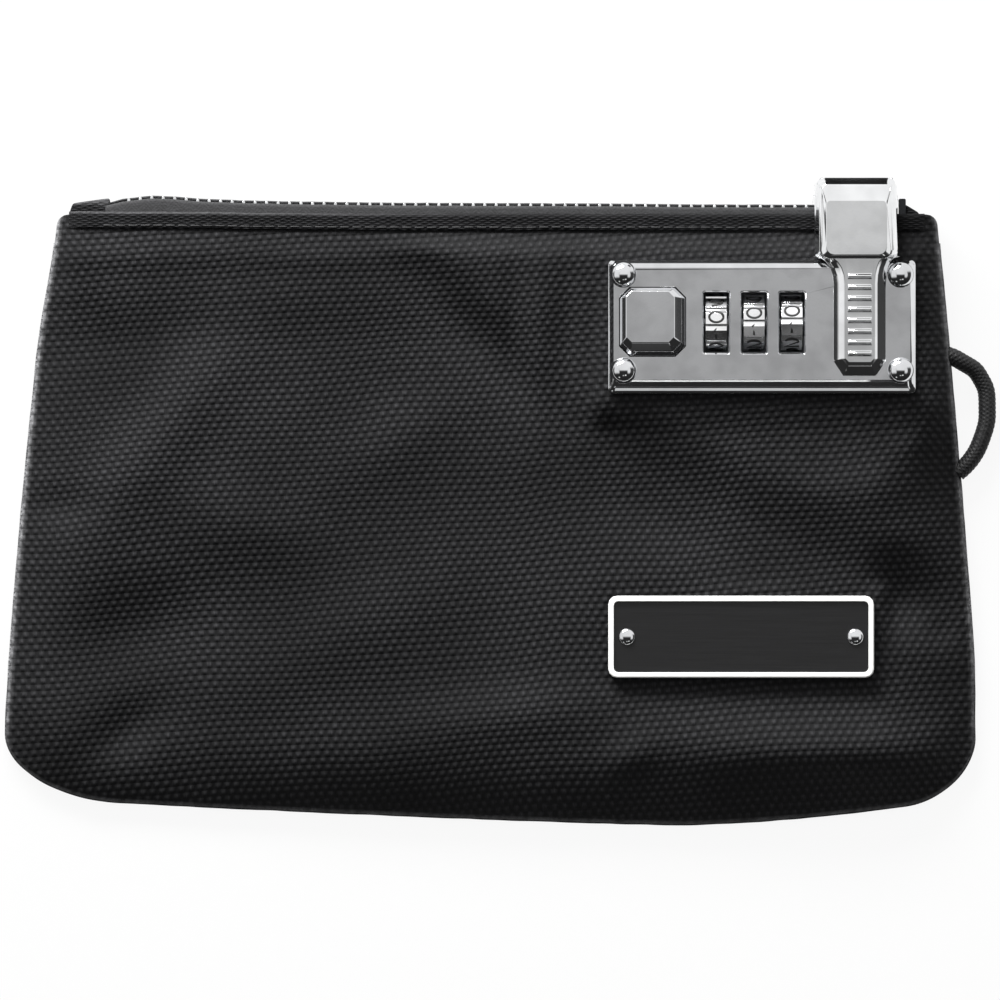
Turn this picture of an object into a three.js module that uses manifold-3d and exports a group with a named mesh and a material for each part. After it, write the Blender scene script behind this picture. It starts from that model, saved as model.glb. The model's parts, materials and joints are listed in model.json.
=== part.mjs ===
// Lockable zip pouch with a three-wheel combination lock.
// Millimetres. The pouch lies on its back: x to the right, y towards the mouth, z out of the front.
import * as THREE from 'three';
import { mergeVertices } from 'three/addons/utils/BufferGeometryUtils.js';
import Module from 'manifold-3d';

const wasm = await Module();
wasm.setup();

// Driving dimensions of the cloth body
const GAP = 0.3;                 // clearance between pieces that pass each other
const SEWN = 0.15;               // clearance between pieces that are sewn together
const MOUTH_Y = 127.6;           // top edge of the hems
const HALF_BOTTOM = 101.6;       // half width near the bottom corners
const HALF_MOUTH = 91.8;         // half width at the mouth
const OFF_CENTRE = 0.1;          // the right side bulges this much less than the left
const CORNER_R = 19;             // rounded bottom corners
const MOUTH_CORNER_R = 4;
const CLOTH = 0.9;
const BELLY_Z = 8.6;             // front of the cloth over the empty part
const SEAM_HALF = 1.25;          // half thickness at the sewn edges
const HEM_W = 3.3;
const HEM_T = 0.6;

// Driving dimensions of the zipper and its slider
const CHAIN_Z = 6.0;             // middle of the closed chain
const CHAIN_Y = MOUTH_Y + 0.9;
const TOOTH_PITCH = 2.4;
const TOOTH_W = 1.0;
const TOOTH_H = 2.8;             // along y
const CHAIN_HALF = 2.45;         // half of the chain across both rows
const TOOTH_OVER = 0.9;          // how far a tooth passes the middle
const TAPE = 0.5;
const SLIDER_L = 12.6;
const WING_HALF = 4.1;
const WING = 1.2;

// Driving dimensions of the lock; x values count back from the right end of its plate
const PLATE_W = 64.1;
const PLATE = { y0: 90.2, y1: 118.0, h: 3.0, skin: 1.2, wall: 1.1 };
const PLATE_TO_CORNER = 4.6;
const CENTRE_Y = 104.95;         // wheels, button and rivets are centred on this line
const WHEEL_R = 5.9;
const WHEEL_W = 4.4;
const WHEEL_PITCH = 7.9;
const WHEEL_DROP = 5.2;          // wheel axis below the face
const DIGITS = 10;
const AXLE_R = 1.5;
// Each flat has a bevel on its north side and a groove to the next; degrees from the middle of its digit
const FLAT = { bevel: 16, north: 7.7, south: 14.9, groove: 17, deep: 0.4 };
const WHEEL_TURN = [11.6, 20.5, 25.1];   // how far each wheel is turned towards the mouth at rest
const WINDOW = { w: 5.3, h: 12.7, chamfer: 0.3 };
const CASE = { inset: 1.4, half: 8.4, wall: 0.6, floor: 0.8 };
const CASE_Z = 3.0;              // underside of the lock case
const BUTTON_W = 13.6;
const BUTTON = { y0: 98.0, y1: 112.2, rise: 2.5, cut: 2.2, travel: 1.6 };
const BUTTON_BEVEL = { west: 1.3, east: 2.3, south: 2.7, north: 0.7 };
const BOLT_TRAVEL = 2.0;
const RIVET_R = 2.75;
const RIVET_RISE = 2.2;
const RIVET_INSET = 3.15;
const RIVET_DY = 10.0;

// Driving dimensions of the pull
const HOOD_W = 17.4;
const HOOD = { y0: 118.6, y1: 135.2, rise: 3.6, wall: 1.6 };
// Bevels of the hood from its flat top outwards: how far in from its sides and its end, and below the top
const HOOD_BEVELS = [
  { side: 2.4, end: 4.8, down: 0 },
  { side: 1.5, end: 1.5, down: 0.36, steep: 1.2 },
  { side: 0.9, end: 0.7, down: 0.9, steep: 1.95 },
  { side: 0, end: 0, down: 2.83, steep: 2.83 },
];
const TAB_W = 11.0;
const TAB = { y0: 93.8, t: 2.3, ribs: 8, ribPitch: 2.3, ribW: 4.8 };
// Bevels of the tab from its flat top outwards: in from its sides and its end, cut corners, below the top
const TAB_BEVELS = [
  { side: 2.4, end: 2.8, cut: [0.8, 0.8], down: 0 },
  { side: 1.8, end: 2.0, cut: [1.2, 1.6], down: 0.2 },
  { side: 0.9, end: 1.0, cut: [1.7, 2.4], down: 0.8 },
  { side: 0, end: 0, cut: [2.1, 3.2], down: 1.6 },
];
const NECK = 5.5;                // length of the curve from the tab out to the hood
const PIN_R = 0.75;
const CATCH = { w: 2.6, y0: 97.3, y1: 98.7, depth: 3.1 };

// Driving dimensions of the badge
const BADGE = { w: 55.7, y0: 30.7, y1: 48.0, t: 1.6, border: 1.25 };
const BADGE_TO_EDGE = 21.1;

// Cord loop: distance outside the side seam, y and z of points along its middle
const CORD_R = 1.8;
const CORD = [[-0.7, 98.3, 4.6], [0.9, 97.7, 4.4], [2.6, 96.7, 3.9], [4.9, 95.2, 2.9], [6.1, 93.3, 2.3],
  [7.0, 90.8, 2.0], [6.9, 87.2, 2.0], [6.4, 83.8, 2.0], [4.5, 79.3, 2.0], [2.8, 76.7, 2.0], [1.0, 74.8, 2.0],
  [-0.5, 73.6, 2.0]];

// Heights and places that follow from the dimensions above
const CASE_DEPTH = WHEEL_DROP + WHEEL_R + GAP + 0.2 + CASE.floor;
const FACE_Z = CASE_Z + CASE_DEPTH;
const SEAT_Z = FACE_Z - PLATE.h;
const AXIS_Z = FACE_Z - WHEEL_DROP;
PLATE.x1 = Math.min(rightEdge(PLATE.y0), rightEdge(MOUTH_Y)) - PLATE_TO_CORNER;
PLATE.x0 = PLATE.x1 - PLATE_W;
CASE.x0 = PLATE.x0 + CASE.inset;
CASE.x1 = PLATE.x1 - CASE.inset;
BUTTON.x0 = CASE.x0 + 1.0;
BUTTON.x1 = BUTTON.x0 + BUTTON_W;
const WHEEL_X = [0, 1, 2].map((i) => BUTTON.x1 + 6.5 + i * WHEEL_PITCH);
const RIVET_X = [PLATE.x0 + RIVET_INSET, PLATE.x1 - RIVET_INSET];
const PIN_Y = CHAIN_Y + TOOTH_H / 2 + GAP + WING + 1.3;
HOOD.x1 = PLATE.x1 - 3.7;
HOOD.x0 = HOOD.x1 - HOOD_W;
TAB.x1 = HOOD.x1 - 2.5;
TAB.x0 = TAB.x1 - TAB_W;
CATCH.x1 = TAB.x1 - 0.9;
CATCH.x0 = CATCH.x1 - CATCH.w;
const SLIDER_X = (HOOD.x0 + HOOD.x1) / 2 - 0.1;
BADGE.x1 = rightEdge(BADGE.y0) - BADGE_TO_EDGE;
BADGE.x0 = BADGE.x1 - BADGE.w;
const CHAIN_X0 = leftEdge(MOUTH_Y) + 15.2;
const BAR = { y0: CATCH.y0, y1: CATCH.y1, low: FACE_Z - 6.6, high: FACE_Z - 3.5 };
const RAMP = { x: BUTTON.x1 - 4.5, run: 4.0, rise: (4.0 * BUTTON.travel) / BOLT_TRAVEL, low: FACE_Z - 8.6 };
const SPUR_X = WHEEL_X[2] + 9.6;
const SPRING_POST = CASE.x1 - 2.9;
const BADGE_Y = (BADGE.y0 + BADGE.y1) / 2;
const BADGE_Z = BELLY_Z + SEWN;
const BADGE_RIVETS = [[BADGE.x0 + 4.0, BADGE_Y], [BADGE.x1 - 4.0, BADGE_Y]];
const HEM_Z = CHAIN_Z + CHAIN_HALF + TAPE + 0.1 + CLOTH;
const BACK_MOUTH_Z = CHAIN_Z - CHAIN_HALF - TAPE - 0.1 - CLOTH;
// Rows of the cloth grid between the lock plate and the hem
const UNDER_MOUTH = [PLATE.y1 + 0.8, MOUTH_Y - HEM_W - 0.4];

// Small helpers
function clamp01(t) {
  return Math.min(1, Math.max(0, t));
}

function smooth(a, b, v) {
  const t = clamp01((v - a) / (b - a));
  return t * t * (3 - 2 * t);
}

function mix(a, b, t) {
  return a + (b - a) * t;
}

function radians(degrees) {
  return (degrees * Math.PI) / 180;
}

// Materials, one per finish
function finish(color, roughness, metalness) {
  return () => new THREE.MeshStandardMaterial({ color, roughness, metalness });
}
const cloth = finish(0x232324, 0.85, 0);
const tapeCloth = finish(0x1b1b1c, 0.9, 0);
const chrome = finish(0xd4d6d8, 0.12, 1);
const steel = finish(0x9fa2a4, 0.35, 1);
const zinc = finish(0x8c8f92, 0.4, 1);
const blackPlate = finish(0x161617, 0.4, 0.3);
const whiteEnamel = finish(0xf2f2f0, 0.4, 0);
const cordBlack = finish(0x141414, 0.9, 0);

// Solids are passed between these helpers as manifold bodies
function toSolid(geometry) {
  const bare = geometry.clone();
  bare.deleteAttribute('normal');
  bare.deleteAttribute('uv');
  const merged = mergeVertices(bare, 1e-4);
  const mesh = new wasm.Mesh({
    numProp: 3,
    vertProperties: new Float32Array(merged.attributes.position.array),
    triVerts: new Uint32Array(merged.index.array),
  });
  return new wasm.Manifold(mesh);
}

function toGeometry(solid) {
  const mesh = solid.getMesh();
  const geometry = new THREE.BufferGeometry();
  geometry.setAttribute('position', new THREE.BufferAttribute(new Float32Array(mesh.vertProperties), 3));
  geometry.setIndex(new THREE.BufferAttribute(new Uint32Array(mesh.triVerts), 1));
  return geometry;
}

// Closed body from stacked rings of equally many points, capped at both ends
function loft(rings) {
  const count = rings[0].length;
  const points = rings.flat();
  const faces = [];
  for (let k = 0; k + 1 < rings.length; k += 1) {
    for (let i = 0; i < count; i += 1) {
      const j = (i + 1) % count;
      const a = k * count + i;
      const b = k * count + j;
      faces.push([a, b, b + count], [a, b + count, a + count]);
    }
  }
  const last = (rings.length - 1) * count;
  const flat = rings[0].map((p) => new THREE.Vector2(p[0], p[1]));
  for (const [a, b, c] of THREE.ShapeUtils.triangulateShape(flat, [])) {
    faces.push([a, c, b], [last + a, last + b, last + c]);
  }
  return bodyFrom(points, faces);
}

function bodyFrom(points, faces) {
  const geometry = new THREE.BufferGeometry();
  geometry.setAttribute('position', new THREE.Float32BufferAttribute(points.flat(), 3));
  geometry.setIndex(faces.flat());
  return toSolid(geometry);
}

// Ring of a rectangle with rounded corners, anticlockwise seen from +z; the upper corners may differ
function ring(x0, x1, y0, y1, r, z, rTop = r) {
  const corners = [[x1 - r, y0 + r, -90, r], [x1 - rTop, y1 - rTop, 0, rTop], [x0 + rTop, y1 - rTop, 90, rTop],
    [x0 + r, y0 + r, 180, r]];
  const steps = 3;
  const out = [];
  for (const [cx, cy, start, radius] of corners) {
    for (let i = 0; i <= steps; i += 1) {
      const a = radians(start + (90 * i) / steps);
      out.push([cx + radius * Math.cos(a), cy + radius * Math.sin(a), z]);
    }
  }
  return out;
}

function block(x0, x1, y0, y1, z0, z1) {
  const geometry = new THREE.BoxGeometry(x1 - x0, y1 - y0, z1 - z0);
  geometry.translate((x0 + x1) / 2, (y0 + y1) / 2, (z0 + z1) / 2);
  return toSolid(geometry);
}

// Outline drawn in (y, z), run along x
function prismX(outline, x0, x1) {
  const geometry = extruded(outline, x1 - x0);
  const turn = new THREE.Matrix4().set(0, 0, 1, x0, 1, 0, 0, 0, 0, 1, 0, 0, 0, 0, 0, 1);
  return toSolid(geometry.applyMatrix4(turn));
}

// Outline drawn in (x, z), run along y
function prismY(outline, y0, y1) {
  const geometry = extruded(outline, y1 - y0);
  const turn = new THREE.Matrix4().set(1, 0, 0, 0, 0, 0, -1, y1, 0, 1, 0, 0, 0, 0, 0, 1);
  return toSolid(geometry.applyMatrix4(turn));
}

function prismZ(outline, z0, z1) {
  return toSolid(extruded(outline, z1 - z0).translate(0, 0, z0));
}

function extruded(outline, depth) {
  const shape = new THREE.Shape(outline.map(([a, b]) => new THREE.Vector2(a, b)));
  return new THREE.ExtrudeGeometry(shape, { depth, bevelEnabled: false, curveSegments: 6 });
}

function circle(cx, cy, r, steps) {
  return Array.from({ length: steps }, (_, i) => {
    const a = (2 * Math.PI * (i + 0.5)) / steps;
    return [cx + r * Math.cos(a), cy + r * Math.sin(a)];
  });
}

function coil(radius, wire, turns, length, axis) {
  const points = [];
  const perTurn = 8;
  for (let i = 0; i <= turns * perTurn; i += 1) {
    const a = (2 * Math.PI * i) / perTurn;
    const along = (length * i) / (turns * perTurn);
    const across = [radius * Math.cos(a), radius * Math.sin(a)];
    points.push(axis === 'x'
      ? new THREE.Vector3(along, across[0], across[1])
      : new THREE.Vector3(across[0], across[1], along));
  }
  return tube(points, wire / 2, turns * perTurn, 6);
}

function tube(points, radius, steps, sides) {
  const section = new THREE.Shape(circle(0, 0, radius, sides).map(([a, b]) => new THREE.Vector2(a, b)));
  const route = new THREE.CatmullRomCurve3(points);
  return toSolid(new THREE.ExtrudeGeometry(section, { steps, extrudePath: route, bevelEnabled: false }));
}

// Outline of the cloth body
function leftEdge(y) {
  const t = (y - 20) / (MOUTH_Y - 20);
  return -mix(HALF_BOTTOM, HALF_MOUTH, t > 0 ? t ** 1.25 : 0);
}

function rightEdge(y) {
  const t = (y - 32) / (MOUTH_Y - 32);
  return mix(HALF_BOTTOM - 0.4, HALF_MOUTH + 1.4, t > 0 ? t ** 1.15 : 0);
}

function bottomLine(x) {
  return x < 40 ? 5.2 * ((40 - x) / 120) ** 1.3 : 5.2 * ((x - 40) / 50) ** 1.6;
}

function cornerRise(distance, r) {
  const e = clamp01(1 - distance / r);
  return r * (1 - Math.sqrt(1 - e * e));
}

function bottomEdge(x, fromLeft, fromRight) {
  return bottomLine(x) + cornerRise(fromLeft, CORNER_R) + cornerRise(fromRight, CORNER_R * 0.8);
}

function topEdge(fromLeft, fromRight) {
  return MOUTH_Y - cornerRise(fromLeft, MOUTH_CORNER_R) - cornerRise(fromRight, MOUTH_CORNER_R);
}

// Height of the sewn edge above the table: it lifts beside the lock and at the mouth
function seamZ(x, y) {
  const lift = x > 0 ? 3.4 * smooth(68, 98, y) : 2.6 * smooth(96, 122, y);
  return SEAM_HALF + lift;
}

function edgeRise(distance, reach) {
  return 1 - (1 - clamp01(distance / reach)) ** 2;
}

// How far the cloth has risen from its sewn edge, 0 at the edge and 1 inside
function inward(x, y) {
  const left = edgeRise(x - leftEdge(y), mix(22, 7, smooth(98, 122, y)));
  const right = edgeRise(rightEdge(y) - x, mix(22, 6.2, smooth(66, 88, y)));
  const bottom = edgeRise(y - bottomEdge(x, x - leftEdge(y), rightEdge(y) - x), 22);
  return left * right * bottom;
}

function frontZ(x, y) {
  const besidePlate = smooth(2, PLATE.x0 - 2.5, x) * smooth(64, PLATE.y0 - 2.5, y);
  const underPlate = besidePlate * (1 - smooth(UNDER_MOUTH[0], UNDER_MOUTH[1], y));
  const inside = mix(mix(BELLY_Z, HEM_Z, smooth(100, 114, y)), SEAT_Z, underPlate);
  const edge = seamZ(x, y) + SEAM_HALF;
  return mix(edge, inside, inward(x, y));
}

function backZ(x, y) {
  const inside = BACK_MOUTH_Z * smooth(104, UNDER_MOUTH[0], y);
  const edge = seamZ(x, y) - SEAM_HALF;
  return mix(edge, inside, clamp01(1.7 * inward(x, y)));
}

function gridRow(y0, y1, j, rows) {
  const even = rows - 3;
  if (j <= even) return mix(y0, 115, j / even);
  return [...UNDER_MOUTH, y1][j - even - 1];
}

// Cloth sheet on a grid that follows the outline; z0 and z1 give its two faces
function sheet(z0, z1, columns, rows, span = {}) {
  const { from = null, uEnds = [0, 1] } = span;
  const points = [];
  const at = (i, j) => {
    const s = mix(uEnds[0], uEnds[1], i / columns);
    const u = from === null ? 0.5 + 0.5 * Math.sign(s - 0.5) * Math.abs(2 * s - 1) ** 0.75 : s;
    let x = mix(leftEdge(60), rightEdge(60), u);
    let y = 60;
    for (let pass = 0; pass < 6; pass += 1) {
      const l = leftEdge(y);
      const r = rightEdge(y);
      x = mix(l, r, u);
      const y0 = from === null ? bottomEdge(x, x - l, r - x) : from;
      const y1 = topEdge(x - l, r - x);
      y = from === null ? gridRow(y0, y1, j, rows) : mix(y0, y1, j / rows);
    }
    return [x, y];
  };
  const index = (i, j, face) => (j * (columns + 1) + i) * 2 + face;
  for (let j = 0; j <= rows; j += 1) {
    for (let i = 0; i <= columns; i += 1) {
      const [x, y] = at(i, j);
      points.push([x, y, z0(x, y)], [x, y, z1(x, y)]);
    }
  }
  const faces = [];
  const quad = (a, b, c, d) => faces.push([a, b, c], [a, c, d]);
  for (let j = 0; j < rows; j += 1) {
    for (let i = 0; i < columns; i += 1) {
      quad(index(i, j, 1), index(i + 1, j, 1), index(i + 1, j + 1, 1), index(i, j + 1, 1));
      quad(index(i, j, 0), index(i, j + 1, 0), index(i + 1, j + 1, 0), index(i + 1, j, 0));
    }
  }
  for (let i = 0; i < columns; i += 1) {
    quad(index(i, 0, 0), index(i + 1, 0, 0), index(i + 1, 0, 1), index(i, 0, 1));
    quad(index(i + 1, rows, 0), index(i, rows, 0), index(i, rows, 1), index(i + 1, rows, 1));
  }
  for (let j = 0; j < rows; j += 1) {
    quad(index(0, j + 1, 0), index(0, j, 0), index(0, j, 1), index(0, j + 1, 1));
    quad(index(columns, j, 0), index(columns, j + 1, 0), index(columns, j + 1, 1), index(columns, j, 1));
  }
  return bodyFrom(points, faces);
}

// Openings that the lock needs in the front cloth
function caseHole(grow) {
  const y0 = CENTRE_Y - CASE.half - grow;
  const y1 = CENTRE_Y + CASE.half + grow;
  return block(CASE.x0 - grow, CASE.x1 + grow, y0, y1, 0, FACE_Z);
}

function rivetHoles(radius, bottom, top) {
  let holes = null;
  for (const x of RIVET_X) {
    for (const dy of [-RIVET_DY, RIVET_DY]) {
      const hole = prismZ(circle(x, CENTRE_Y + dy, radius, 12), bottom, top);
      holes = holes ? holes.add(hole) : hole;
    }
  }
  return holes;
}

function frontPanel() {
  const solid = sheet((x, y) => frontZ(x, y) - CLOTH, frontZ, 42, 27);
  const bare = solid.subtract(caseHole(SEWN)).subtract(rivetHoles(1.2, 0, FACE_Z)).subtract(badgeHoles(1.0));
  return bare.subtract(cordLoop(SEWN));
}

function backPanel() {
  return sheet(backZ, (x, y) => backZ(x, y) + CLOTH, 28, 21).subtract(cordLoop(SEWN));
}

function frontHem() {
  const z = (x, y) => frontZ(x, y) + SEWN;
  return sheet(z, (x, y) => z(x, y) + HEM_T, 44, 2, { from: MOUTH_Y - HEM_W, uEnds: [0.05, 0.965] });
}

function backHem() {
  const z = (x, y) => backZ(x, y) - SEWN;
  return sheet((x, y) => z(x, y) - HEM_T, z, 24, 1, { from: MOUTH_Y - HEM_W, uEnds: [0.05, 0.965] });
}

// Strip caught between the two panels along the sides and the bottom
function seamTape() {
  const lower = (x, y) => seamZ(x, y) - 0.13;
  const upper = (x, y) => seamZ(x, y) + 0.15;
  const whole = sheet(lower, upper, 42, 27);
  return whole.subtract(innerCut()).subtract(cordLoop(SEWN));
}

function innerCut() {
  const width = 3.2;
  const outline = [];
  const topY = MOUTH_Y + 5;
  for (let y = topY; y > 32; y -= 8) outline.push([leftEdge(y) + width, y]);
  for (let k = 0; k <= 24; k += 1) {
    const u = k / 24;
    const x = mix(leftEdge(20) + width, rightEdge(20) - width, u);
    const left = x - leftEdge(20) - width;
    const right = rightEdge(20) - width - x;
    outline.push([x, bottomLine(x) + width + cornerRise(left, CORNER_R) + cornerRise(right, CORNER_R * 0.8)]);
  }
  for (let y = 32; y < topY + 1; y += 8) outline.push([rightEdge(y) - width, y]);
  return prismZ(outline, -5, 30);
}

// One row of the zipper: a comb of teeth on a tape that turns down into the pouch
function zipperRow(side) {
  const z = (across) => CHAIN_Z + side * across;
  const end = SLIDER_X - 1.4;
  const shift = side > 0 ? 0 : TOOTH_PITCH / 2;
  const count = Math.floor((end - shift - CHAIN_X0) / TOOTH_PITCH);
  const inner = CHAIN_HALF - 0.75;
  const outline = [[CHAIN_X0, z(CHAIN_HALF)], [CHAIN_X0, z(inner)]];
  for (let i = 0; i < count; i += 1) {
    const x = CHAIN_X0 + 0.4 + shift + i * TOOTH_PITCH;
    outline.push([x, z(inner)], [x, z(-TOOTH_OVER)], [x + TOOTH_W, z(-TOOTH_OVER)], [x + TOOTH_W, z(inner)]);
  }
  const last = HOOD.x1 - 0.4;
  outline.push([last, z(inner)], [last, z(CHAIN_HALF)]);
  const comb = prismY(outline, CHAIN_Y - TOOTH_H / 2, CHAIN_Y + TOOTH_H / 2);
  const coreOnly = block(SLIDER_X - 1.2, last + 1, CHAIN_Y - 2, CHAIN_Y - TAPE / 2, 0, 20)
    .add(block(SLIDER_X - 1.2, last + 1, CHAIN_Y + TAPE / 2, CHAIN_Y + 2, 0, 20));
  const low = CHAIN_Y - 9.5;
  const outer = CHAIN_HALF + TAPE;
  const profile = [
    [CHAIN_Y - TAPE / 2, z(inner + 0.2)], [CHAIN_Y + TAPE / 2, z(inner + 0.2)],
    [CHAIN_Y + TAPE / 2, z(outer - 0.3)], [CHAIN_Y - 0.1, z(outer)],
    [low, z(outer)], [low, z(CHAIN_HALF)], [CHAIN_Y - TAPE / 2, z(CHAIN_HALF)],
  ];
  const tape = prismX(profile, CHAIN_X0, last);
  return comb.subtract(coreOnly).add(tape);
}

function endTab(x0, x1, top) {
  const z0 = CHAIN_Z - 2.0;
  const z1 = CHAIN_Z + 1.6;
  const y0 = MOUTH_Y - 5;
  return loft([
    ring(x0 + 0.5, x1 - 0.5, y0, top - 0.5, 0.8, z0),
    ring(x0, x1, y0, top, 1.0, z0 + 0.6),
    ring(x0, x1, y0, top, 1.0, z1 - 0.6),
    ring(x0 + 0.5, x1 - 0.5, y0, top - 0.5, 0.8, z1),
  ]);
}

function zipStop(x0, above) {
  const y0 = CHAIN_Y - 1.4;
  const y1 = CHAIN_Y + above;
  return loft([
    ring(x0, x0 + 1.5, y0, y1, 0.3, CHAIN_Z - 2.2),
    ring(x0, x0 + 1.5, y0, y1, 0.3, CHAIN_Z + 2.2),
  ]);
}

// Slider: upper wing with side flanges, lower wing, wedge between them, lug for the pin
function sliderBody() {
  const x0 = SLIDER_X - SLIDER_L / 2;
  const x1 = SLIDER_X + SLIDER_L / 2;
  const wingTop = CHAIN_Y + TOOTH_H / 2 + GAP;
  const upper = block(x0, x1, wingTop, wingTop + WING, CHAIN_Z - WING_HALF, CHAIN_Z + WING_HALF);
  const flangeLow = CHAIN_Y + TAPE / 2 + GAP;
  const near = block(x0, x1, flangeLow, wingTop + 0.6, CHAIN_Z + WING_HALF - 0.7, CHAIN_Z + WING_HALF);
  const far = block(x0, x1, flangeLow, wingTop + 0.6, CHAIN_Z - WING_HALF, CHAIN_Z - WING_HALF + 0.7);
  const lowTop = CHAIN_Y - TOOTH_H / 2 - GAP;
  const lower = block(x0, x1, lowTop - WING, lowTop, CHAIN_Z - 2.1, CHAIN_Z + 2.1);
  const wedge = prismY([[SLIDER_X + 0.2, CHAIN_Z], [SLIDER_X + 3.4, CHAIN_Z - 1.2], [SLIDER_X + 5.4, CHAIN_Z - 0.7],
    [SLIDER_X + 5.4, CHAIN_Z + 0.7], [SLIDER_X + 3.4, CHAIN_Z + 1.2]], lowTop - 0.5, wingTop + 0.5);
  const lugFoot = block(SLIDER_X - 2.2, SLIDER_X + 2.2, wingTop + 0.6, PIN_Y, CHAIN_Z - 1.5, CHAIN_Z + 1.5);
  const lugEye = prismX(circle(PIN_Y, CHAIN_Z, 1.6, 16), SLIDER_X - 2.2, SLIDER_X + 2.2);
  const bore = prismX(circle(PIN_Y, CHAIN_Z, PIN_R + 0.15, 12), x0 - 5, x1 + 5);
  return upper.add(near).add(far).add(lower).add(wedge).add(lugFoot).add(lugEye).subtract(bore);
}

function hingePin() {
  return prismX(circle(PIN_Y, CHAIN_Z, PIN_R, 12), HOOD.x0 + 0.2, HOOD.x1 - 0.2);
}

// Pull: one casting of hood, neck, ribbed tab and the catch below it
function pull() {
  const { wall } = HOOD;
  const hoodFloor = SEAT_Z + 0.9;
  const hoodTop = FACE_Z + HOOD.rise;
  const hollow = block(HOOD.x0 + wall, HOOD.x1 - wall, HOOD.y0 + 3.0, HOOD.y1 - wall, hoodFloor - 1, hoodTop - 2.4);
  const armOutline = [[PIN_Y - 2.2, CHAIN_Z - 0.6], [PIN_Y - 1.2, CHAIN_Z - 2.1], [PIN_Y + 1.2, CHAIN_Z - 2.1],
    [PIN_Y + 2.2, CHAIN_Z - 0.6], [HOOD.y1, CHAIN_Z + 2.6], [HOOD.y1, hoodFloor + 0.5],
    [PIN_Y - 2.3, hoodFloor + 0.5], [PIN_Y - 2.3, CHAIN_Z]];
  const leftArm = prismX(armOutline, HOOD.x0, HOOD.x0 + wall);
  const rightArm = prismX(armOutline, HOOD.x1 - wall, HOOD.x1);
  const topWall = block(HOOD.x0 + 0.5, HOOD.x1 - 0.5, HOOD.y1 - wall, HOOD.y1, CHAIN_Z + 2.6, hoodFloor + 0.5);
  const bore = prismX(circle(PIN_Y, CHAIN_Z, PIN_R + 0.15, 12), HOOD.x0 - 1, HOOD.x1 + 1);
  const body = hood(hoodFloor, hoodTop).subtract(hollow).add(leftArm).add(rightArm).add(topWall).subtract(bore);
  return body.add(neck()).add(tab()).add(catchHook());
}

// Hood: flat top with soft lower corners, a wide bevel at its end and narrow ones down its sides
function hood(low, top) {
  const walls = ring(HOOD.x0, HOOD.x1, HOOD.y0, HOOD.y1, 0.8, low);
  const rings = HOOD_BEVELS.map(({ side, end, down, steep = down }, i) => {
    const z = top - down;
    const y0 = i === 0 ? HOOD.y0 + 0.4 : HOOD.y0 - 0.4 + (down * 0.4) / 2.83;
    const out = ring(HOOD.x0 + side, HOOD.x1 - side, y0, HOOD.y1 - end, side > 0 ? 1.6 : 0.8, z, 0.8);
    // the end bevel falls faster than the sides
    return out.map(([x, y, height]) => [x, y, y > HOOD.y1 - end - 0.9 ? height - (steep - down) : height]);
  });
  return loft([walls, ...rings.reverse()]);
}

// Outline of the tab at one level: cut corners at its free end
function tabOutline({ side, end, cut, down }) {
  const [cutX, cutY] = cut;
  const x0 = TAB.x0 + side;
  const x1 = TAB.x1 - side;
  const y0 = TAB.y0 + end;
  const y1 = HOOD.y0 + 1.5;
  const z = FACE_Z + TAB.t - down;
  return [[x0 + cutX, y0, z], [x1 - cutX, y0, z], [x1, y0 + cutY, z], [x1, y1, z], [x0, y1, z], [x0, y0 + cutY, z]];
}

// Outline of the neck at one level: hollow curves from the tab out to the corners of the hood
function neckOutline({ side, down }) {
  const low = HOOD.y0 - NECK;
  const high = HOOD.y0 + 1.5;
  const z = FACE_Z + TAB.t - down;
  const curve = (from, spread) => [0, 1, 2, 3, 4, 5].map((i) => {
    const a = radians(i * 18);
    return [from + spread * (1 - Math.cos(a)), low + NECK * Math.sin(a), z];
  });
  const right = curve(TAB.x1 - side, HOOD.x1 - TAB.x1 - GAP);
  const left = curve(TAB.x0 + side, HOOD.x0 - TAB.x0 + GAP).reverse();
  return [[TAB.x1 - side, low - 0.5, z], ...right, [right[5][0], high, z], [left[0][0], high, z], ...left,
    [TAB.x0 + side, low - 0.5, z]];
}

function neck() {
  const foot = neckOutline({ side: 0, down: TAB.t - GAP });
  return loft([foot, ...TAB_BEVELS.map(neckOutline).reverse()]);
}

function tab() {
  const top = FACE_Z + TAB.t;
  const foot = tabOutline({ ...TAB_BEVELS[TAB_BEVELS.length - 1], down: TAB.t - GAP });
  let solid = loft([foot, ...TAB_BEVELS.map(tabOutline).reverse()]);
  const centre = (TAB.x0 + TAB.x1) / 2;
  for (let i = 0; i < TAB.ribs; i += 1) {
    const y = TAB.y0 + 4.2 + i * TAB.ribPitch;
    solid = solid.add(block(centre - TAB.ribW / 2, centre + TAB.ribW / 2, y, y + 1.0, top - 0.3, top + 0.35));
  }
  return solid;
}

function catchHook() {
  const foot = FACE_Z + GAP + 0.4;
  const low = FACE_Z - CATCH.depth;
  const notch = 1.0;
  return prismY([[CATCH.x0, foot], [CATCH.x0, low], [CATCH.x1 - 0.4, low], [CATCH.x1, low + 0.7],
    [CATCH.x1 - notch, low + 0.7], [CATCH.x1 - notch, low + 2.3], [CATCH.x1, foot]], CATCH.y0, CATCH.y1);
}

function buttonOutline(grow, z) {
  return cutCorners(BUTTON.x0 - grow, BUTTON.x1 + grow, BUTTON.y0 - grow, BUTTON.y1 + grow, BUTTON.cut, z);
}

// Outline of the cap part of the way up its bevels, which are widest on the east and the south
function capOutline(share, z) {
  const { west, east, south, north } = BUTTON_BEVEL;
  return cutCorners(BUTTON.x0 + west * share, BUTTON.x1 - east * share, BUTTON.y0 + south * share,
    BUTTON.y1 - north * share, BUTTON.cut - share * 1.1, z);
}

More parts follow.
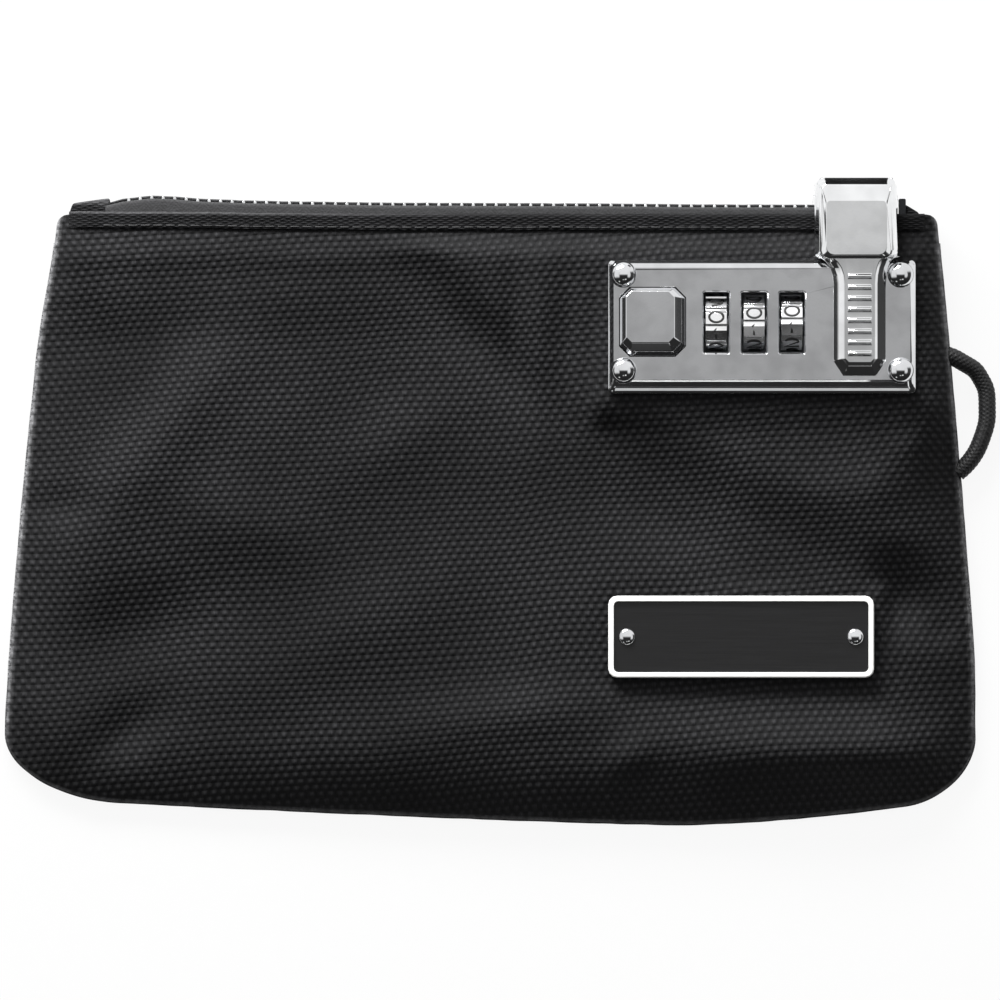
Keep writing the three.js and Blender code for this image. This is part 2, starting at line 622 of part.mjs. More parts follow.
function cutCorners(x0, x1, y0, y1, cut, z) {
  return [[x0 + cut, y0, z], [x1 - cut, y0, z], [x1, y0 + cut, z], [x1, y1 - cut, z],
    [x1 - cut, y1, z], [x0 + cut, y1, z], [x0, y1 - cut, z], [x0, y0 + cut, z]];
}

// Lock plate: bevelled cast tray, stepped along its lower edge
function lockPlate() {
  const { x0, x1, y0, y1, h, skin, wall } = PLATE;
  const seat = FACE_Z - h;
  const outer = loft([
    ring(x0, x1, y0, y1, 1.0, seat),
    ring(x0, x1, y0, y1, 1.0, FACE_Z - 1.7),
    ring(x0 + 0.4, x1 - 0.4, y0 + 0.5, y1 - 0.25, 1.0, FACE_Z - 1.3),
    ring(x0 + 0.55, x1 - 0.55, y0 + 1.1, y1 - 0.4, 1.0, FACE_Z - 1.1),
    ring(x0 + 0.8, x1 - 0.8, y0 + 1.4, y1 - 0.55, 1.0, FACE_Z - 0.7),
    ring(x0 + 0.95, x1 - 0.95, y0 + 2.4, y1 - 0.7, 1.0, FACE_Z - 0.35),
    ring(x0 + 1.1, x1 - 1.1, y0 + 2.8, y1 - 0.85, 1.0, FACE_Z),
  ]);
  let solid = outer.subtract(block(x0 + wall, x1 - wall, y0 + wall, y1 - wall, seat - 1, FACE_Z - skin));
  for (const x of WHEEL_X) solid = solid.subtract(windowCut(x));
  const hole = buttonOutline(0.2, 0).map(([x, y]) => [x, y]);
  solid = solid.subtract(prismZ(hole, seat, FACE_Z + 1));
  const slot = block(TAB.x0 + 0.3, CATCH.x1 + GAP, CATCH.y0 - GAP, CATCH.y1 + 1.0, seat, FACE_Z + 1);
  return solid.subtract(slot).subtract(rivetHoles(1.2, seat - 1, FACE_Z + 1));
}

function windowCut(x) {
  const { w, h, chamfer } = WINDOW;
  const at = (grow, z) => ring(x - w / 2 - grow, x + w / 2 + grow, CENTRE_Y - h / 2 - grow, CENTRE_Y + h / 2 + grow,
    0.3 + grow, z);
  return loft([at(0, FACE_Z - PLATE.h), at(0, FACE_Z - chamfer), at(chamfer + 0.1, FACE_Z + 0.1)]);
}

function rivet(x, y) {
  const profile = [[0, -5.6], [1.4, -5.5], [1.45, -5.0], [1.0, -5.0], [1.0, 0]];
  for (let i = 0; i <= 5; i += 1) {
    const a = (Math.PI / 2) * (i / 5);
    profile.push([RIVET_R * Math.cos(a), RIVET_RISE * Math.sin(a)]);
  }
  profile[profile.length - 1][0] = 0;
  const lathe = new THREE.LatheGeometry(profile.map(([r, z]) => new THREE.Vector2(r, z)), 16);
  return toSolid(lathe.rotateX(Math.PI / 2).translate(x, y, FACE_Z));
}

function backingPlate() {
  const top = SEAT_Z - CLOTH - 0.1;
  const inset = 0.8;
  const solid = loft([
    ring(PLATE.x0 + inset, PLATE.x1 - inset, PLATE.y0 + inset, PLATE.y1 - inset, 2, top - 0.7),
    ring(PLATE.x0 + inset, PLATE.x1 - inset, PLATE.y0 + inset, PLATE.y1 - inset, 2, top),
  ]);
  return solid.subtract(caseHole(SEWN)).subtract(rivetHoles(1.2, 0, FACE_Z));
}

// Lock case: open box with two pillars that carry the axle
function lockCase() {
  const { x0, x1, half, wall, floor } = CASE;
  const y0 = CENTRE_Y - half;
  const y1 = CENTRE_Y + half;
  const bottom = CASE_Z;
  const top = FACE_Z - PLATE.skin;
  let solid = block(x0, x1, y0, y1, bottom, top);
  solid = solid.subtract(block(x0 + wall, x1 - wall, y0 + wall, y1 - wall, bottom + floor, top + 1));
  for (const x of [WHEEL_X[0] - 5.2, WHEEL_X[2] + 6.4]) {
    solid = solid.add(block(x, x + 1.0, CENTRE_Y - 3.8, CENTRE_Y + 3.8, bottom + floor / 2, top - 1.2));
  }
  solid = solid.add(block(SPRING_POST, SPRING_POST + 1.0, CENTRE_Y - 6.0, CENTRE_Y - 2.0,
    bottom + floor / 2, FACE_Z - 4));
  return solid.subtract(axle(0.15));
}

function axle(grow) {
  const from = WHEEL_X[0] - 4.6;
  const to = WHEEL_X[2] + 6.8;
  return prismX(circle(CENTRE_Y, AXIS_Z, AXLE_R + grow, 16), from - grow, to + grow);
}

// Number wheel: ten flats, each with a bevel at its north side and a groove to its neighbour
function wheel() {
  const outline = [];
  for (let i = 0; i < DIGITS; i += 1) {
    const turns = [[-FLAT.bevel, FLAT.deep], [-FLAT.north, 0], [FLAT.south, 0], [FLAT.groove, FLAT.deep]];
    for (const [turn, deep] of turns) {
      const a = radians(90 + (i * 360) / DIGITS + turn);
      outline.push([(WHEEL_R - deep) * Math.cos(a), (WHEEL_R - deep) * Math.sin(a)]);
    }
  }
  const bore = prismX(circle(0, 0, AXLE_R + 0.2, 16), -WHEEL_W, WHEEL_W);
  return prismX(outline, -WHEEL_W / 2, WHEEL_W / 2).subtract(bore);
}

// Gate disc and sleeve that turn with a wheel; the gate faces the bolt bar at rest
function gateDisc() {
  const x0 = WHEEL_W / 2 + GAP;
  const sleeve = prismX(circle(0, 0, 2.4, 16), x0, x0 + 2.7);
  const disc = prismX(circle(0, 0, 3.8, 24), x0 + 0.95, x0 + 1.65);
  const gate = block(x0, x0 + 2.7, -6, -2.5, -1.5, 1.5);
  const bore = prismX(circle(0, 0, AXLE_R + 0.2, 16), 0, 20);
  return sleeve.add(disc).subtract(gate).subtract(bore);
}

// Bolt bar: fingers between the gate discs, a ramp under the button and a nose in the catch
function boltBar() {
  const end = CATCH.x1 + 2.3;
  const noseLow = FACE_Z - CATCH.depth + 1.0;
  const tip = CATCH.x1 - 0.7;
  let solid = prismY([[RAMP.x + 2.0, BAR.low], [end, BAR.low], [end, noseLow + 0.8], [tip, noseLow + 0.8],
    [tip, noseLow], [end - 1.0, noseLow], [end - 1.0, BAR.high], [RAMP.x + 5.0, BAR.high],
    [RAMP.x + 5.0, BAR.high - 1], [RAMP.x + 2.0, BAR.high - 2]], BAR.y0, BAR.y1);
  solid = solid.subtract(block(RAMP.x, RAMP.x + 4.4, BAR.y0 - 1, BAR.y1 + 1, FACE_Z - 5.3, FACE_Z));
  for (const x of WHEEL_X) {
    const from = x + WHEEL_W / 2 + GAP;
    solid = solid.add(block(from, from + 0.7, BAR.y1 - 0.4, CENTRE_Y - 2.8, AXIS_Z - 1.1, AXIS_Z + 1.1));
  }
  const ramp = prismY([[RAMP.x, RAMP.low], [RAMP.x, RAMP.low - 1.0], [RAMP.x + 5.4, RAMP.low - 1.0],
    [RAMP.x + 5.4, RAMP.low + RAMP.rise], [RAMP.x + RAMP.run, RAMP.low + RAMP.rise]], BAR.y1 - 0.3, BAR.y1 + 2.2);
  const spur = block(SPUR_X, SPUR_X + 1.0, BAR.y1 - 0.4, CENTRE_Y - 2.4, BAR.low, BAR.low + 2.4);
  return solid.add(ramp).add(spur);
}

function boltSpring() {
  const from = SPUR_X + 1.0 + 0.2;
  const to = SPRING_POST - 0.2;
  const centre = BAR.low + 1.2;
  return coil(1.1, 0.4, 5, to - from - 0.4, 'x').translate([from + 0.2, CENTRE_Y - 4.4, centre]);
}

// Push button: bevelled cap, straight walls, two retaining lips, wedge leg over the ramp
function button() {
  const cap = loft([
    capOutline(0, FACE_Z - 2.6),
    capOutline(0, FACE_Z + 0.5),
    capOutline(0.35, FACE_Z + BUTTON.rise * 0.7),
    capOutline(1, FACE_Z + BUTTON.rise),
  ]);
  const lips = block(BUTTON.x0 + 3, BUTTON.x0 + 9, BUTTON.y0 - 0.65, BUTTON.y1 + 0.4, FACE_Z - 2.6, FACE_Z - 1.7);
  const off = 0.2;
  const right = RAMP.x + RAMP.run - 0.2;
  const face = (x) => RAMP.low + ((x - RAMP.x) * RAMP.rise) / RAMP.run + off;
  const low = RAMP.x - 0.6;
  const leg = prismY([[low - 2, FACE_Z - 2.4], [low - 2, face(low)], [low, face(low)],
    [right, face(right)], [right, FACE_Z - 2.4]], BAR.y1 + 0.4, BAR.y1 + 2.0);
  const recess = block(BUTTON.x0 + 2.5, BUTTON.x0 + 9.5, CENTRE_Y - 2.5, CENTRE_Y + 5.2, FACE_Z - 4, FACE_Z - 0.6);
  return cap.add(lips).add(leg).subtract(recess);
}

function buttonSpring() {
  const low = CASE_Z + CASE.floor + 0.5;
  const high = FACE_Z - 0.6 - 0.5;
  return coil(2.4, 0.5, 6, high - low, 'z').translate([BUTTON.x0 + 6, CENTRE_Y + 1.4, low]);
}

function detentSpring() {
  const y = CENTRE_Y + WHEEL_R + 0.3;
  const outline = [[y + 0.9, AXIS_Z - 6.0], [y + 1.2, AXIS_Z - 6.0], [y + 0.9, AXIS_Z - 1.2], [y + 0.3, AXIS_Z],
    [y + 0.9, AXIS_Z + 1.2], [y + 1.1, AXIS_Z + 3.4], [y + 0.8, AXIS_Z + 3.4], [y + 0.6, AXIS_Z + 1.2],
    [y, AXIS_Z], [y + 0.6, AXIS_Z - 1.2]];
  const slots = [0, 1].map((i) => {
    const x = (WHEEL_X[i] + WHEEL_X[i + 1]) / 2;
    return block(x - 1.2, x + 1.2, y - 1, y + 3, AXIS_Z - 3.5, AXIS_Z + 6);
  });
  const strip = prismX(outline, WHEEL_X[0] - 2.2, WHEEL_X[2] + 2.2);
  return strip.subtract(slots[0]).subtract(slots[1]);
}

// Badge: bare plate, raised border, two rivets
function badgeHoles(radius) {
  const holes = BADGE_RIVETS.map(([x, y]) => prismZ(circle(x, y, radius, 10), 0, FACE_Z));
  return holes[0].add(holes[1]);
}

function badgePlate() {
  const { x0, x1, y0, y1, t } = BADGE;
  const solid = loft([
    ring(x0, x1, y0, y1, 1.9, BADGE_Z),
    ring(x0, x1, y0, y1, 1.9, BADGE_Z + t),
  ]);
  return solid.subtract(badgeHoles(1.0));
}

function badgeBorder() {
  const { x0, x1, y0, y1, t, border } = BADGE;
  const z0 = BADGE_Z + t;
  const outer = loft([
    ring(x0 + 0.1, x1 - 0.1, y0 + 0.1, y1 - 0.1, 1.8, z0),
    ring(x0 + 0.1, x1 - 0.1, y0 + 0.1, y1 - 0.1, 1.8, z0 + 0.4),
    ring(x0 + 0.3, x1 - 0.3, y0 + 0.3, y1 - 0.3, 1.6, z0 + 0.6),
  ]);
  const inner = loft([
    ring(x0 + border, x1 - border, y0 + border, y1 - border, 0.9, z0 - 1),
    ring(x0 + border, x1 - border, y0 + border, y1 - border, 0.9, z0 + 2),
  ]);
  return outer.subtract(inner);
}

function badgeRivet([x, y]) {
  const foot = BELLY_Z - CLOTH - BADGE_Z - BADGE.t - 0.9;
  const profile = [[0, foot], [1.5, foot], [1.5, foot + 0.6], [0.8, foot + 0.6], [0.8, 0.0]];
  for (let i = 0; i <= 3; i += 1) {
    const a = (Math.PI / 2) * (i / 3);
    profile.push([1.75 * Math.cos(a), 0.15 + 0.8 * Math.sin(a)]);
  }
  profile[profile.length - 1][0] = 0;
  const lathe = new THREE.LatheGeometry(profile.map(([r, z]) => new THREE.Vector2(r, z)), 12);
  return toSolid(lathe.rotateX(Math.PI / 2).translate(x, y, BADGE_Z + BADGE.t));
}

// Cord loop: both ends are sewn in between the panels, the bow lies on the table
function cordLoop(grow) {
  const route = CORD.map(([out, y, z]) => new THREE.Vector3(rightEdge(y) + out, y, z));
  return tube(route, CORD_R + grow, 22, 8);
}

// Assembly
const pouch = new THREE.Group();
pouch.name = 'lockable_pouch';
pouch.position.set(OFF_CENTRE, -HOOD.y1 / 2, 0);

function place(name, solid, material, parent = pouch, at = [0, 0, 0]) {
  const mesh = new THREE.Mesh(toGeometry(solid), material());
  mesh.name = name;
  mesh.position.set(...at);
  parent.add(mesh);
  return mesh;
}

place('front_panel', frontPanel(), cloth);
place('back_panel', backPanel(), cloth);
place('seam_tape', seamTape(), tapeCloth);
place('front_hem', frontHem(), cloth);
place('back_hem', backHem(), cloth);
place('zipper_front', zipperRow(1), tapeCloth);
place('zipper_back', zipperRow(-1), tapeCloth);
place('end_tab_left', endTab(leftEdge(MOUTH_Y) + 4.2, CHAIN_X0 - 3.0, MOUTH_Y + 2.9), cloth);
place('end_tab_right', endTab(HOOD.x1 + 2.1, rightEdge(MOUTH_Y) - 3.6, MOUTH_Y + 1.3), cloth);
place('zip_stop_left', zipStop(CHAIN_X0 - 2.0, 1.5), chrome);
place('zip_stop_right', zipStop(HOOD.x1 + GAP, 2.4), chrome);
place('cord_loop', cordLoop(0), cordBlack);

const slider = new THREE.Group();
slider.name = 'slider';
pouch.add(slider);
place('slider_body', sliderBody(), zinc, slider);
place('hinge_pin', hingePin(), steel, slider);
place('pull', pull(), chrome, slider);

const lock = new THREE.Group();
lock.name = 'lock';
pouch.add(lock);
place('lock_plate', lockPlate(), chrome, lock);
place('lock_case', lockCase(), zinc, lock);
place('backing_plate', backingPlate(), steel, lock);
place('axle', axle(0), steel, lock);
RIVET_X.forEach((x, i) => {
  [-RIVET_DY, RIVET_DY].forEach((dy, j) => {
    place(`rivet_${i * 2 + j + 1}`, rivet(x, CENTRE_Y + dy), chrome, lock);
  });
});
WHEEL_X.forEach((x, i) => {
  const hub = [x, CENTRE_Y, AXIS_Z];
  place(`wheel_${i + 1}`, wheel(), chrome, lock, hub).rotation.x = -radians(WHEEL_TURN[i]);
  place(`gate_disc_${i + 1}`, gateDisc(), steel, lock, hub);
});
place('bolt_bar', boltBar(), steel, lock);
place('bolt_spring', boltSpring(), steel, lock);
place('button', button(), chrome, lock);
place('button_spring', buttonSpring(), steel, lock);
place('detent_spring', detentSpring(), steel, lock);

const badge = new THREE.Group();
badge.name = 'badge';
pouch.add(badge);
place('badge_plate', badgePlate(), blackPlate, badge);
place('badge_border', badgeBorder(), whiteEnamel, badge);
BADGE_RIVETS.forEach((at, i) => place(`badge_rivet_${i + 1}`, badgeRivet(at), chrome, badge));

export default pouch;
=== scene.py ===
"""Lockable zip pouch, dressed over its CAD frame. Sizes are in mm; spot() makes them metres."""
import json
import math

import bpy
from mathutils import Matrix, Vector, noise


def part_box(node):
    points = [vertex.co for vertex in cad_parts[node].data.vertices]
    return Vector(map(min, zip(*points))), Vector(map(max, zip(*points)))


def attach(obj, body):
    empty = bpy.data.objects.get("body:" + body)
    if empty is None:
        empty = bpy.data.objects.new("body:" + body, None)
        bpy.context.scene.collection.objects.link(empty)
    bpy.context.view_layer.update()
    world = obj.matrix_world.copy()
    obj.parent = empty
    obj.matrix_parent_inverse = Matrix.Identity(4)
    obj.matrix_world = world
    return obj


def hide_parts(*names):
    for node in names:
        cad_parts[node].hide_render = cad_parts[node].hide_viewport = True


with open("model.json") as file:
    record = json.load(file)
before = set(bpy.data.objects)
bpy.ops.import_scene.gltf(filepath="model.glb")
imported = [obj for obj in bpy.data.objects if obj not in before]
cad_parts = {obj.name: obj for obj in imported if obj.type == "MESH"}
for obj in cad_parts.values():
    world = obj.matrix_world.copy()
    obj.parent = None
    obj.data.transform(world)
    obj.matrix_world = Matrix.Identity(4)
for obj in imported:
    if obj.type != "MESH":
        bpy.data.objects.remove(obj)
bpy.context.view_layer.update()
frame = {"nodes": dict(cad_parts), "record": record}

MM = 0.001
# Row frame of the CAD, against millimetres counted from the lowest point of the bottom edge
SHIFT_X = 0.1
SHIFT_Y = -67.6

# Outline of the cloth body. A lean is the height at which a side starts to lean in, and the power
# by which that grows. The bottom line rises from its lowest point by rise, run and power.
MOUTH_Y = 127.6
HALF_BOTTOM = 101.6
HALF_MOUTH = 91.8
LEFT_LEAN = (20, 1.25)
RIGHT_LEAN = (32, 1.15)
RIGHT_BOTTOM_IN = 0.4
RIGHT_MOUTH_OUT = 1.4
LEFT_PINCH = 1.2
LEFT_PINCH_Y = (98, 124)
LOWEST_X = 40
BOTTOM_LEFT = (4.75, 120, 1.3)
BOTTOM_RIGHT = (4.3, 50, 1.6)
# Corners: how far each reaches along its edge, and up
LEFT_CORNER = (24.0, 13.3)
RIGHT_CORNER = (15.0, 12.3)
MOUTH_CORNER = (2.2, 2.2)

# Cloth: its thickness, half the seam's, and the heights of the belly, the lock's seat and the hem
CLOTH = 0.8
SEAM_HALF = 1.25
BELLY_Z = 8.6
SEAT_Z = 12.4
HEM_Z = 9.95
BACK_MOUTH_Z = 2.05

# Zipper: height of the chain's middle; pitch, size and place of its teeth
CHAIN_Z = 6.0
TOOTH_PITCH = 2.4
TOOTH_H = 2.8
TOOTH_WIDE = 0.78
TOOTH_LONG = 3.35
TOOTH_OUT = 0.775
TOOTH_START = 0.9
TOOTH_END_X = 74.0

# Number wheels, as in the part; the turns and the ends of flat and bevel are in degrees
WHEEL_Y = 104.95
WHEEL_Z = 10.2
WHEEL_R = 5.9
WHEEL_TURN = [11.6, 20.5, 25.1]
DIGIT_STEP = 36
FLAT_NORTH = 7.7
FLAT_SOUTH = 14.9
BEVEL_END = 16.0
BEVEL_DEEP = 0.4

# Photograph: mm per pixel, the pixel on x = 0, y = 0, its size, and the height where that holds
PIXEL = 0.209
PIXEL_X0 = 491.0
PIXEL_Y0 = 825.0
PICTURE = 1000
SCALE_Z = 8
# In metres
CAMERA_HEIGHT = 4.0


def spot(x, y, z):
    """A point in pouch millimetres as a point of the row frame in metres."""
    return Vector(((x + SHIFT_X) * MM, (y + SHIFT_Y) * MM, z * MM))


def pouch_mm(co):
    """A point of the row frame in metres as pouch millimetres."""
    return co.x / MM - SHIFT_X, co.y / MM - SHIFT_Y, co.z / MM


def clamp(value, low=0.0, high=1.0):
    return max(low, min(high, value))


def smooth(a, b, value):
    t = clamp((value - a) / (b - a))
    return t * t * (3 - 2 * t)


def mix(a, b, t):
    return a + (b - a) * t


def wobble(x, y, pattern):
    """Smooth noise over two numbers; the third only picks its pattern."""
    return noise.noise(Vector((x, y, pattern)))


def box_mm(name):
    """Lowest and highest corner of a CAD node in pouch millimetres."""
    lo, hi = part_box(name)
    return pouch_mm(lo), pouch_mm(hi)


# Materials
def colour(hex_code):
    """An sRGB hex colour as linear RGBA."""
    channels = [int(hex_code[i:i + 2], 16) / 255 for i in (1, 3, 5)]
    linear = [c / 12.92 if c <= 0.04045 else ((c + 0.055) / 1.055) ** 2.4 for c in channels]
    return (*linear, 1.0)


def node(tree, kind, settings=None, **inputs):
    """Adds a node; inputs are values or links for its sockets, by name or by i and a number."""
    made = tree.nodes.new("ShaderNode" + kind)
    for key, value in (settings or {}).items():
        setattr(made, key, value)
    for key, value in inputs.items():
        numbered = key[0] == "i" and key[1:].isdigit()
        socket = made.inputs[int(key[1:])] if numbered else made.inputs[key.replace("_", " ")]
        if isinstance(value, bpy.types.NodeSocket):
            tree.links.new(value, socket)
        else:
            socket.default_value = value
    return made


def calc(tree, operation, a, b=0.0, clamped=False):
    return node(tree, "Math", {"operation": operation, "use_clamp": clamped}, i0=a, i1=b).outputs[0]


def vector(tree, operation, a, **inputs):
    return node(tree, "VectorMath", {"operation": operation}, i0=a, **inputs).outputs


def affine(tree, value, gain, offset):
    """The value times a gain, plus an offset."""
    return calc(tree, "ADD", calc(tree, "MULTIPLY", value, gain), offset)


def stepped(tree, value, low, high, to_low=0.0, to_high=1.0):
    """A smooth step of the value from one level to another."""
    return node(tree, "MapRange", {"interpolation_type": "SMOOTHSTEP"}, Value=value, From_Min=low,
                From_Max=high, To_Min=to_low, To_Max=to_high).outputs[0]


def ramp(tree, value, stops):
    """Colours at stops along a value; each stop is a place and a linear colour."""
    made = node(tree, "ValToRGB", i0=value)
    elements = made.color_ramp.elements
    while len(elements) < len(stops):
        elements.new(0.5)
    for element, (place, tone) in zip(elements, stops):
        element.position = place
        element.color = tone
    return made.outputs[0]


def grain(tree, place, size, stretch=(1, 1, 1), detail=2.0, roughness=0.5):
    """Noise whose features are about size mm, shorter along an axis with a larger stretch."""
    place = node(tree, "Mapping", Vector=place, Scale=[s / size for s in stretch]).outputs[0]
    return node(tree, "TexNoise", Vector=place, Scale=1.0, Detail=detail,
                Roughness=roughness).outputs[0]


def bumped(tree, height, strength, depth):
    """Relief from a height, whose full range stands for depth millimetres."""
    distance = depth * MM
    return node(tree, "Bump", Strength=strength, Distance=distance, Height=height).outputs[0]


def shaded(tone, factor):
    """A linear colour made darker or lighter."""
    return (*[min(1.0, c * factor) for c in tone[:3]], 1)


def new_material(name):
    """An empty node tree, and object coordinates in millimetres."""
    material = bpy.data.materials.new(name)
    material.use_nodes = True
    tree = material.node_tree
    tree.nodes.clear()
    coordinates = node(tree, "TexCoord").outputs["Object"]
    return material, tree, vector(tree, "SCALE", coordinates, Scale=1.0 / MM)[0]


def finish(tree, shader, output="OutputMaterial"):
    tree.links.new(shader.outputs[0], node(tree, output).inputs["Surface"])


def principled(material, **inputs):
    finish(material.node_tree, node(material.node_tree, "BsdfPrincipled", **inputs))
    return material


# Weave: wander of the yarns, closeness of the rows, and shifts of the painted lit sides and
# the painted row shade against them
YARN_WANDER = 2.6
WANDER_SCALE = (0.03, 0.03, 0.03)
ROWS_CLOSER = 0.0005
PAINTED_LIT_SHIFT = 0.3
PAINTED_ROW_SHADE_SHIFT = 2.4
# Grey of the painted highlight on yarns at sewn edges and folds
EDGE_HIGHLIGHT_GREY = "#a8a8aa"


def woven_cloth(name, tones, across, along, turn, depth, painted_shade_contrast=1.0):
    """Coarse plain weave: raised yarn tops in a staggered grid, with painted light on their north
    side and painted shade in the gaps below. Across and along are the spacings of the yarns, and
    depth is their relief."""
    material, tree, place = new_material(name)
    wander = node(tree, "Mapping", Vector=place, Scale=WANDER_SCALE).outputs[0]
    drift = node(tree, "TexNoise", Vector=wander, Scale=1.0, Detail=1.0).outputs["Color"]
    drift = vector(tree, "SUBTRACT", drift, i1=(0.5, 0.5, 0.5))[0]
    drift = vector(tree, "SCALE", drift, Scale=YARN_WANDER)[0]
    shifted = vector(tree, "ADD", place, i1=drift)[0]
    spin = (0, 0, math.radians(turn))
    laid = node(tree, "Mapping", Vector=shifted, Rotation=spin).outputs[0]
    x, y = node(tree, "SeparateXYZ", i0=laid).outputs[:2]
    column = calc(tree, "MULTIPLY", x, math.pi / across)
    closer = affine(tree, y, ROWS_CLOSER, 1.0)
    row = calc(tree, "MULTIPLY", calc(tree, "MULTIPLY", y, closer), math.pi / along)
    wave_x = calc(tree, "SINE", column)
    wave_y = calc(tree, "SINE", row)
    crown = calc(tree, "MULTIPLY", wave_x, wave_y)
    ridge = calc(tree, "ABSOLUTE", wave_y)
    # Painted highlight on the north side of each yarn top, with painted shade below it
    painted_lit_side = calc(tree, "MULTIPLY", wave_x, calc(tree, "SINE", calc(tree, "SUBTRACT", row, PAINTED_LIT_SHIFT)))
    # Painted light and shade along the rows, lighter on each row's north side
    twice = calc(tree, "MULTIPLY", row, 2.0)
    painted_row_shade = calc(tree, "SINE", calc(tree, "SUBTRACT", twice, PAINTED_ROW_SHADE_SHIFT))
    fibre = grain(tree, laid, 0.28, (1, 0.16, 0.3), 1.0)
    flecks = grain(tree, place, 0.6, (1, 1, 1), 2.0, 0.6)
    patches = grain(tree, place, 30.0)
    # The tone holds the painted light and shade of the yarns, times fibres, flecks and patches
    tone = affine(tree, painted_row_shade, 0.2 * painted_shade_contrast, affine(tree, painted_lit_side, 0.36 * painted_shade_contrast, 0.42))
    for marks, gain, level in ((fibre, 0.9, 0.55), (flecks, 0.7, 0.65), (patches, 1.0, 0.5)):
        tone = calc(tree, "MULTIPLY", tone, affine(tree, marks, gain, level))
    base = ramp(tree, tone, [(at, colour(t)) for at, t in zip((0.1, 0.45, 0.95), tones)])
    # Painted highlight: yarns at sewn edges and folds turn grey where they catch the light
    painted_highlight = node(tree, "Attribute", {"attribute_name": "painted_highlight"}).outputs["Fac"]
    painted_highlight = calc(tree, "MULTIPLY", painted_highlight, flecks)
    base = node(tree, "MixRGB", i0=painted_highlight, i1=base, i2=colour(EDGE_HIGHLIGHT_GREY)).outputs[0]
    height = affine(tree, ridge, 0.8, affine(tree, fibre, 0.35, crown))
    rough = affine(tree, flecks, 0.2, 0.66)
    return principled(material, Base_Color=base, Roughness=rough, IOR=1.5,
                      Normal=bumped(tree, height, 0.8, depth), Specular_IOR_Level=0.12)


def ribbed_tape(name, dark, light, pitch, turns_every):
    """Woven zipper tape: herringbone ribs that change direction along it, with loose fibres."""
    material, tree, place = new_material(name)
    axes = node(tree, "SeparateXYZ", i0=place)
    run = calc(tree, "PINGPONG", axes.outputs[0], turns_every)
    up = calc(tree, "ADD", axes.outputs[1], axes.outputs[2])
    slant = calc(tree, "ADD", run, up)
    wave = calc(tree, "SINE", calc(tree, "MULTIPLY", slant, 2 * math.pi / pitch))
    fibre = grain(tree, place, 0.8, (1, 3, 3), 3.0, 0.7)
    tone = affine(tree, wave, 0.07, fibre)
    base = ramp(tree, tone, [(0.3, colour(dark)), (0.75, colour(light))])
    return principled(material, Base_Color=base, Roughness=0.8,
                      Normal=bumped(tree, tone, 0.6, 0.12))


def plated_metal(name, tint, roughness, relief, size=0.4, stretch=(1, 1, 1)):
    """Metal finish: fine marks, drawn out where it is brushed, and faint duller smudges."""
    material, tree, place = new_material(name)
    marks = grain(tree, place, size, stretch, 3.0, 0.55)
    smudge = grain(tree, place, 7.0)
    rough = affine(tree, smudge, roughness * 0.9, roughness * 0.6)
    tone = colour(tint)
    base = ramp(tree, smudge, [(0.35, shaded(tone, 0.86)), (0.6, tone)])
    return principled(material, Base_Color=base, Metallic=1.0, Roughness=rough,
                      Normal=bumped(tree, marks, 0.25, relief))


def painted(name, tint, roughness, size, relief, stretch=(1, 1, 1), spread=0.3):
    """Enamel, anodising, ink or thread: one colour broken by fine grain in colour and relief."""
    material, tree, place = new_material(name)
    marks = grain(tree, place, size, stretch, 3.0)
    tone = colour(tint)
    base = ramp(tree, marks, [(0.3, shaded(tone, 1 - spread)), (0.7, shaded(tone, 1 + spread))])
    rough = affine(tree, marks, 0.12, roughness)
    return principled(material, Base_Color=base, Roughness=rough,
                      Normal=bumped(tree, marks, 0.4, relief))


# Woven polyester: a black checkerboard of soft yarn tops
POLYESTER_CANVAS = woven_cloth("polyester_canvas_plain_weave", ("#0a0a0b", "#1b1b1c", "#363638"),
                               0.977, 1.344, -3.9, 0.15, 0.42)
# The same cloth turned over and pressed: finer, flatter and fuzzier
FOLDED_CANVAS = woven_cloth("polyester_canvas_folded", ("#0a0a0b", "#151516", "#2a2a2c"),
                            1.1, 0.42, 0.0, 0.1, 0.6)
# Woven zipper tape: greyer than the canvas, with herringbone ribs
ZIPPER_TAPE = ribbed_tape("polyester_tape_herringbone", "#101011", "#303032", 0.8, 1.5)
# Die cast zinc, plated and buffed: a mirror with a slightly grey flat
CHROME = plated_metal("chrome_plated_zinc_buffed", "#e6e7e9", 0.06, 0.003)
# The same plating, hand polished and a little brighter
CHROME_PULL = plated_metal("chrome_plated_zinc_hand_polished", "#f6f7f8", 0.07, 0.003)
# Plating over a sandblasted surface: white where it faces the light
SATIN_CHROME = plated_metal("satin_chrome_plated_brass", "#f0f0f1", 0.21, 0.01)
# Stamped nickel silver teeth: soft bright points
TOOTH_NICKEL = plated_metal("nickel_silver_teeth_stamped", "#e4e5e6", 0.25, 0.01)
# Rolled spring steel and turned steel: fine lines along the strip
BRIGHT_STEEL = plated_metal("spring_steel_rolled", "#9b9da0", 0.3, 0.01, 0.5, (0.2, 4, 4))
# Blackened wire of the zipper stops: small sharp lights on a dark bar
BLACK_STEEL = plated_metal("steel_wire_blackened", "#3c3d3f", 0.22, 0.03)
# Bare zinc casting: grey and slightly grainy
CAST_ZINC = plated_metal("zinc_die_cast_bare", "#8f9194", 0.42, 0.02, 0.6)
# Aluminium sheet, brushed along its length and anodised black: faint level lines
BLACK_ALUMINIUM = painted("aluminium_brushed_black_anodised", "#0c0c0d", 0.3, 0.5, 0.03,
                          (0.04, 5.0, 1.0), 0.8)
# Baked white enamel: nearly clean, with a soft gloss
WHITE_ENAMEL = painted("enamel_white_baked", "#f0f0ee", 0.35, 2.0, 0.006, spread=0.03)
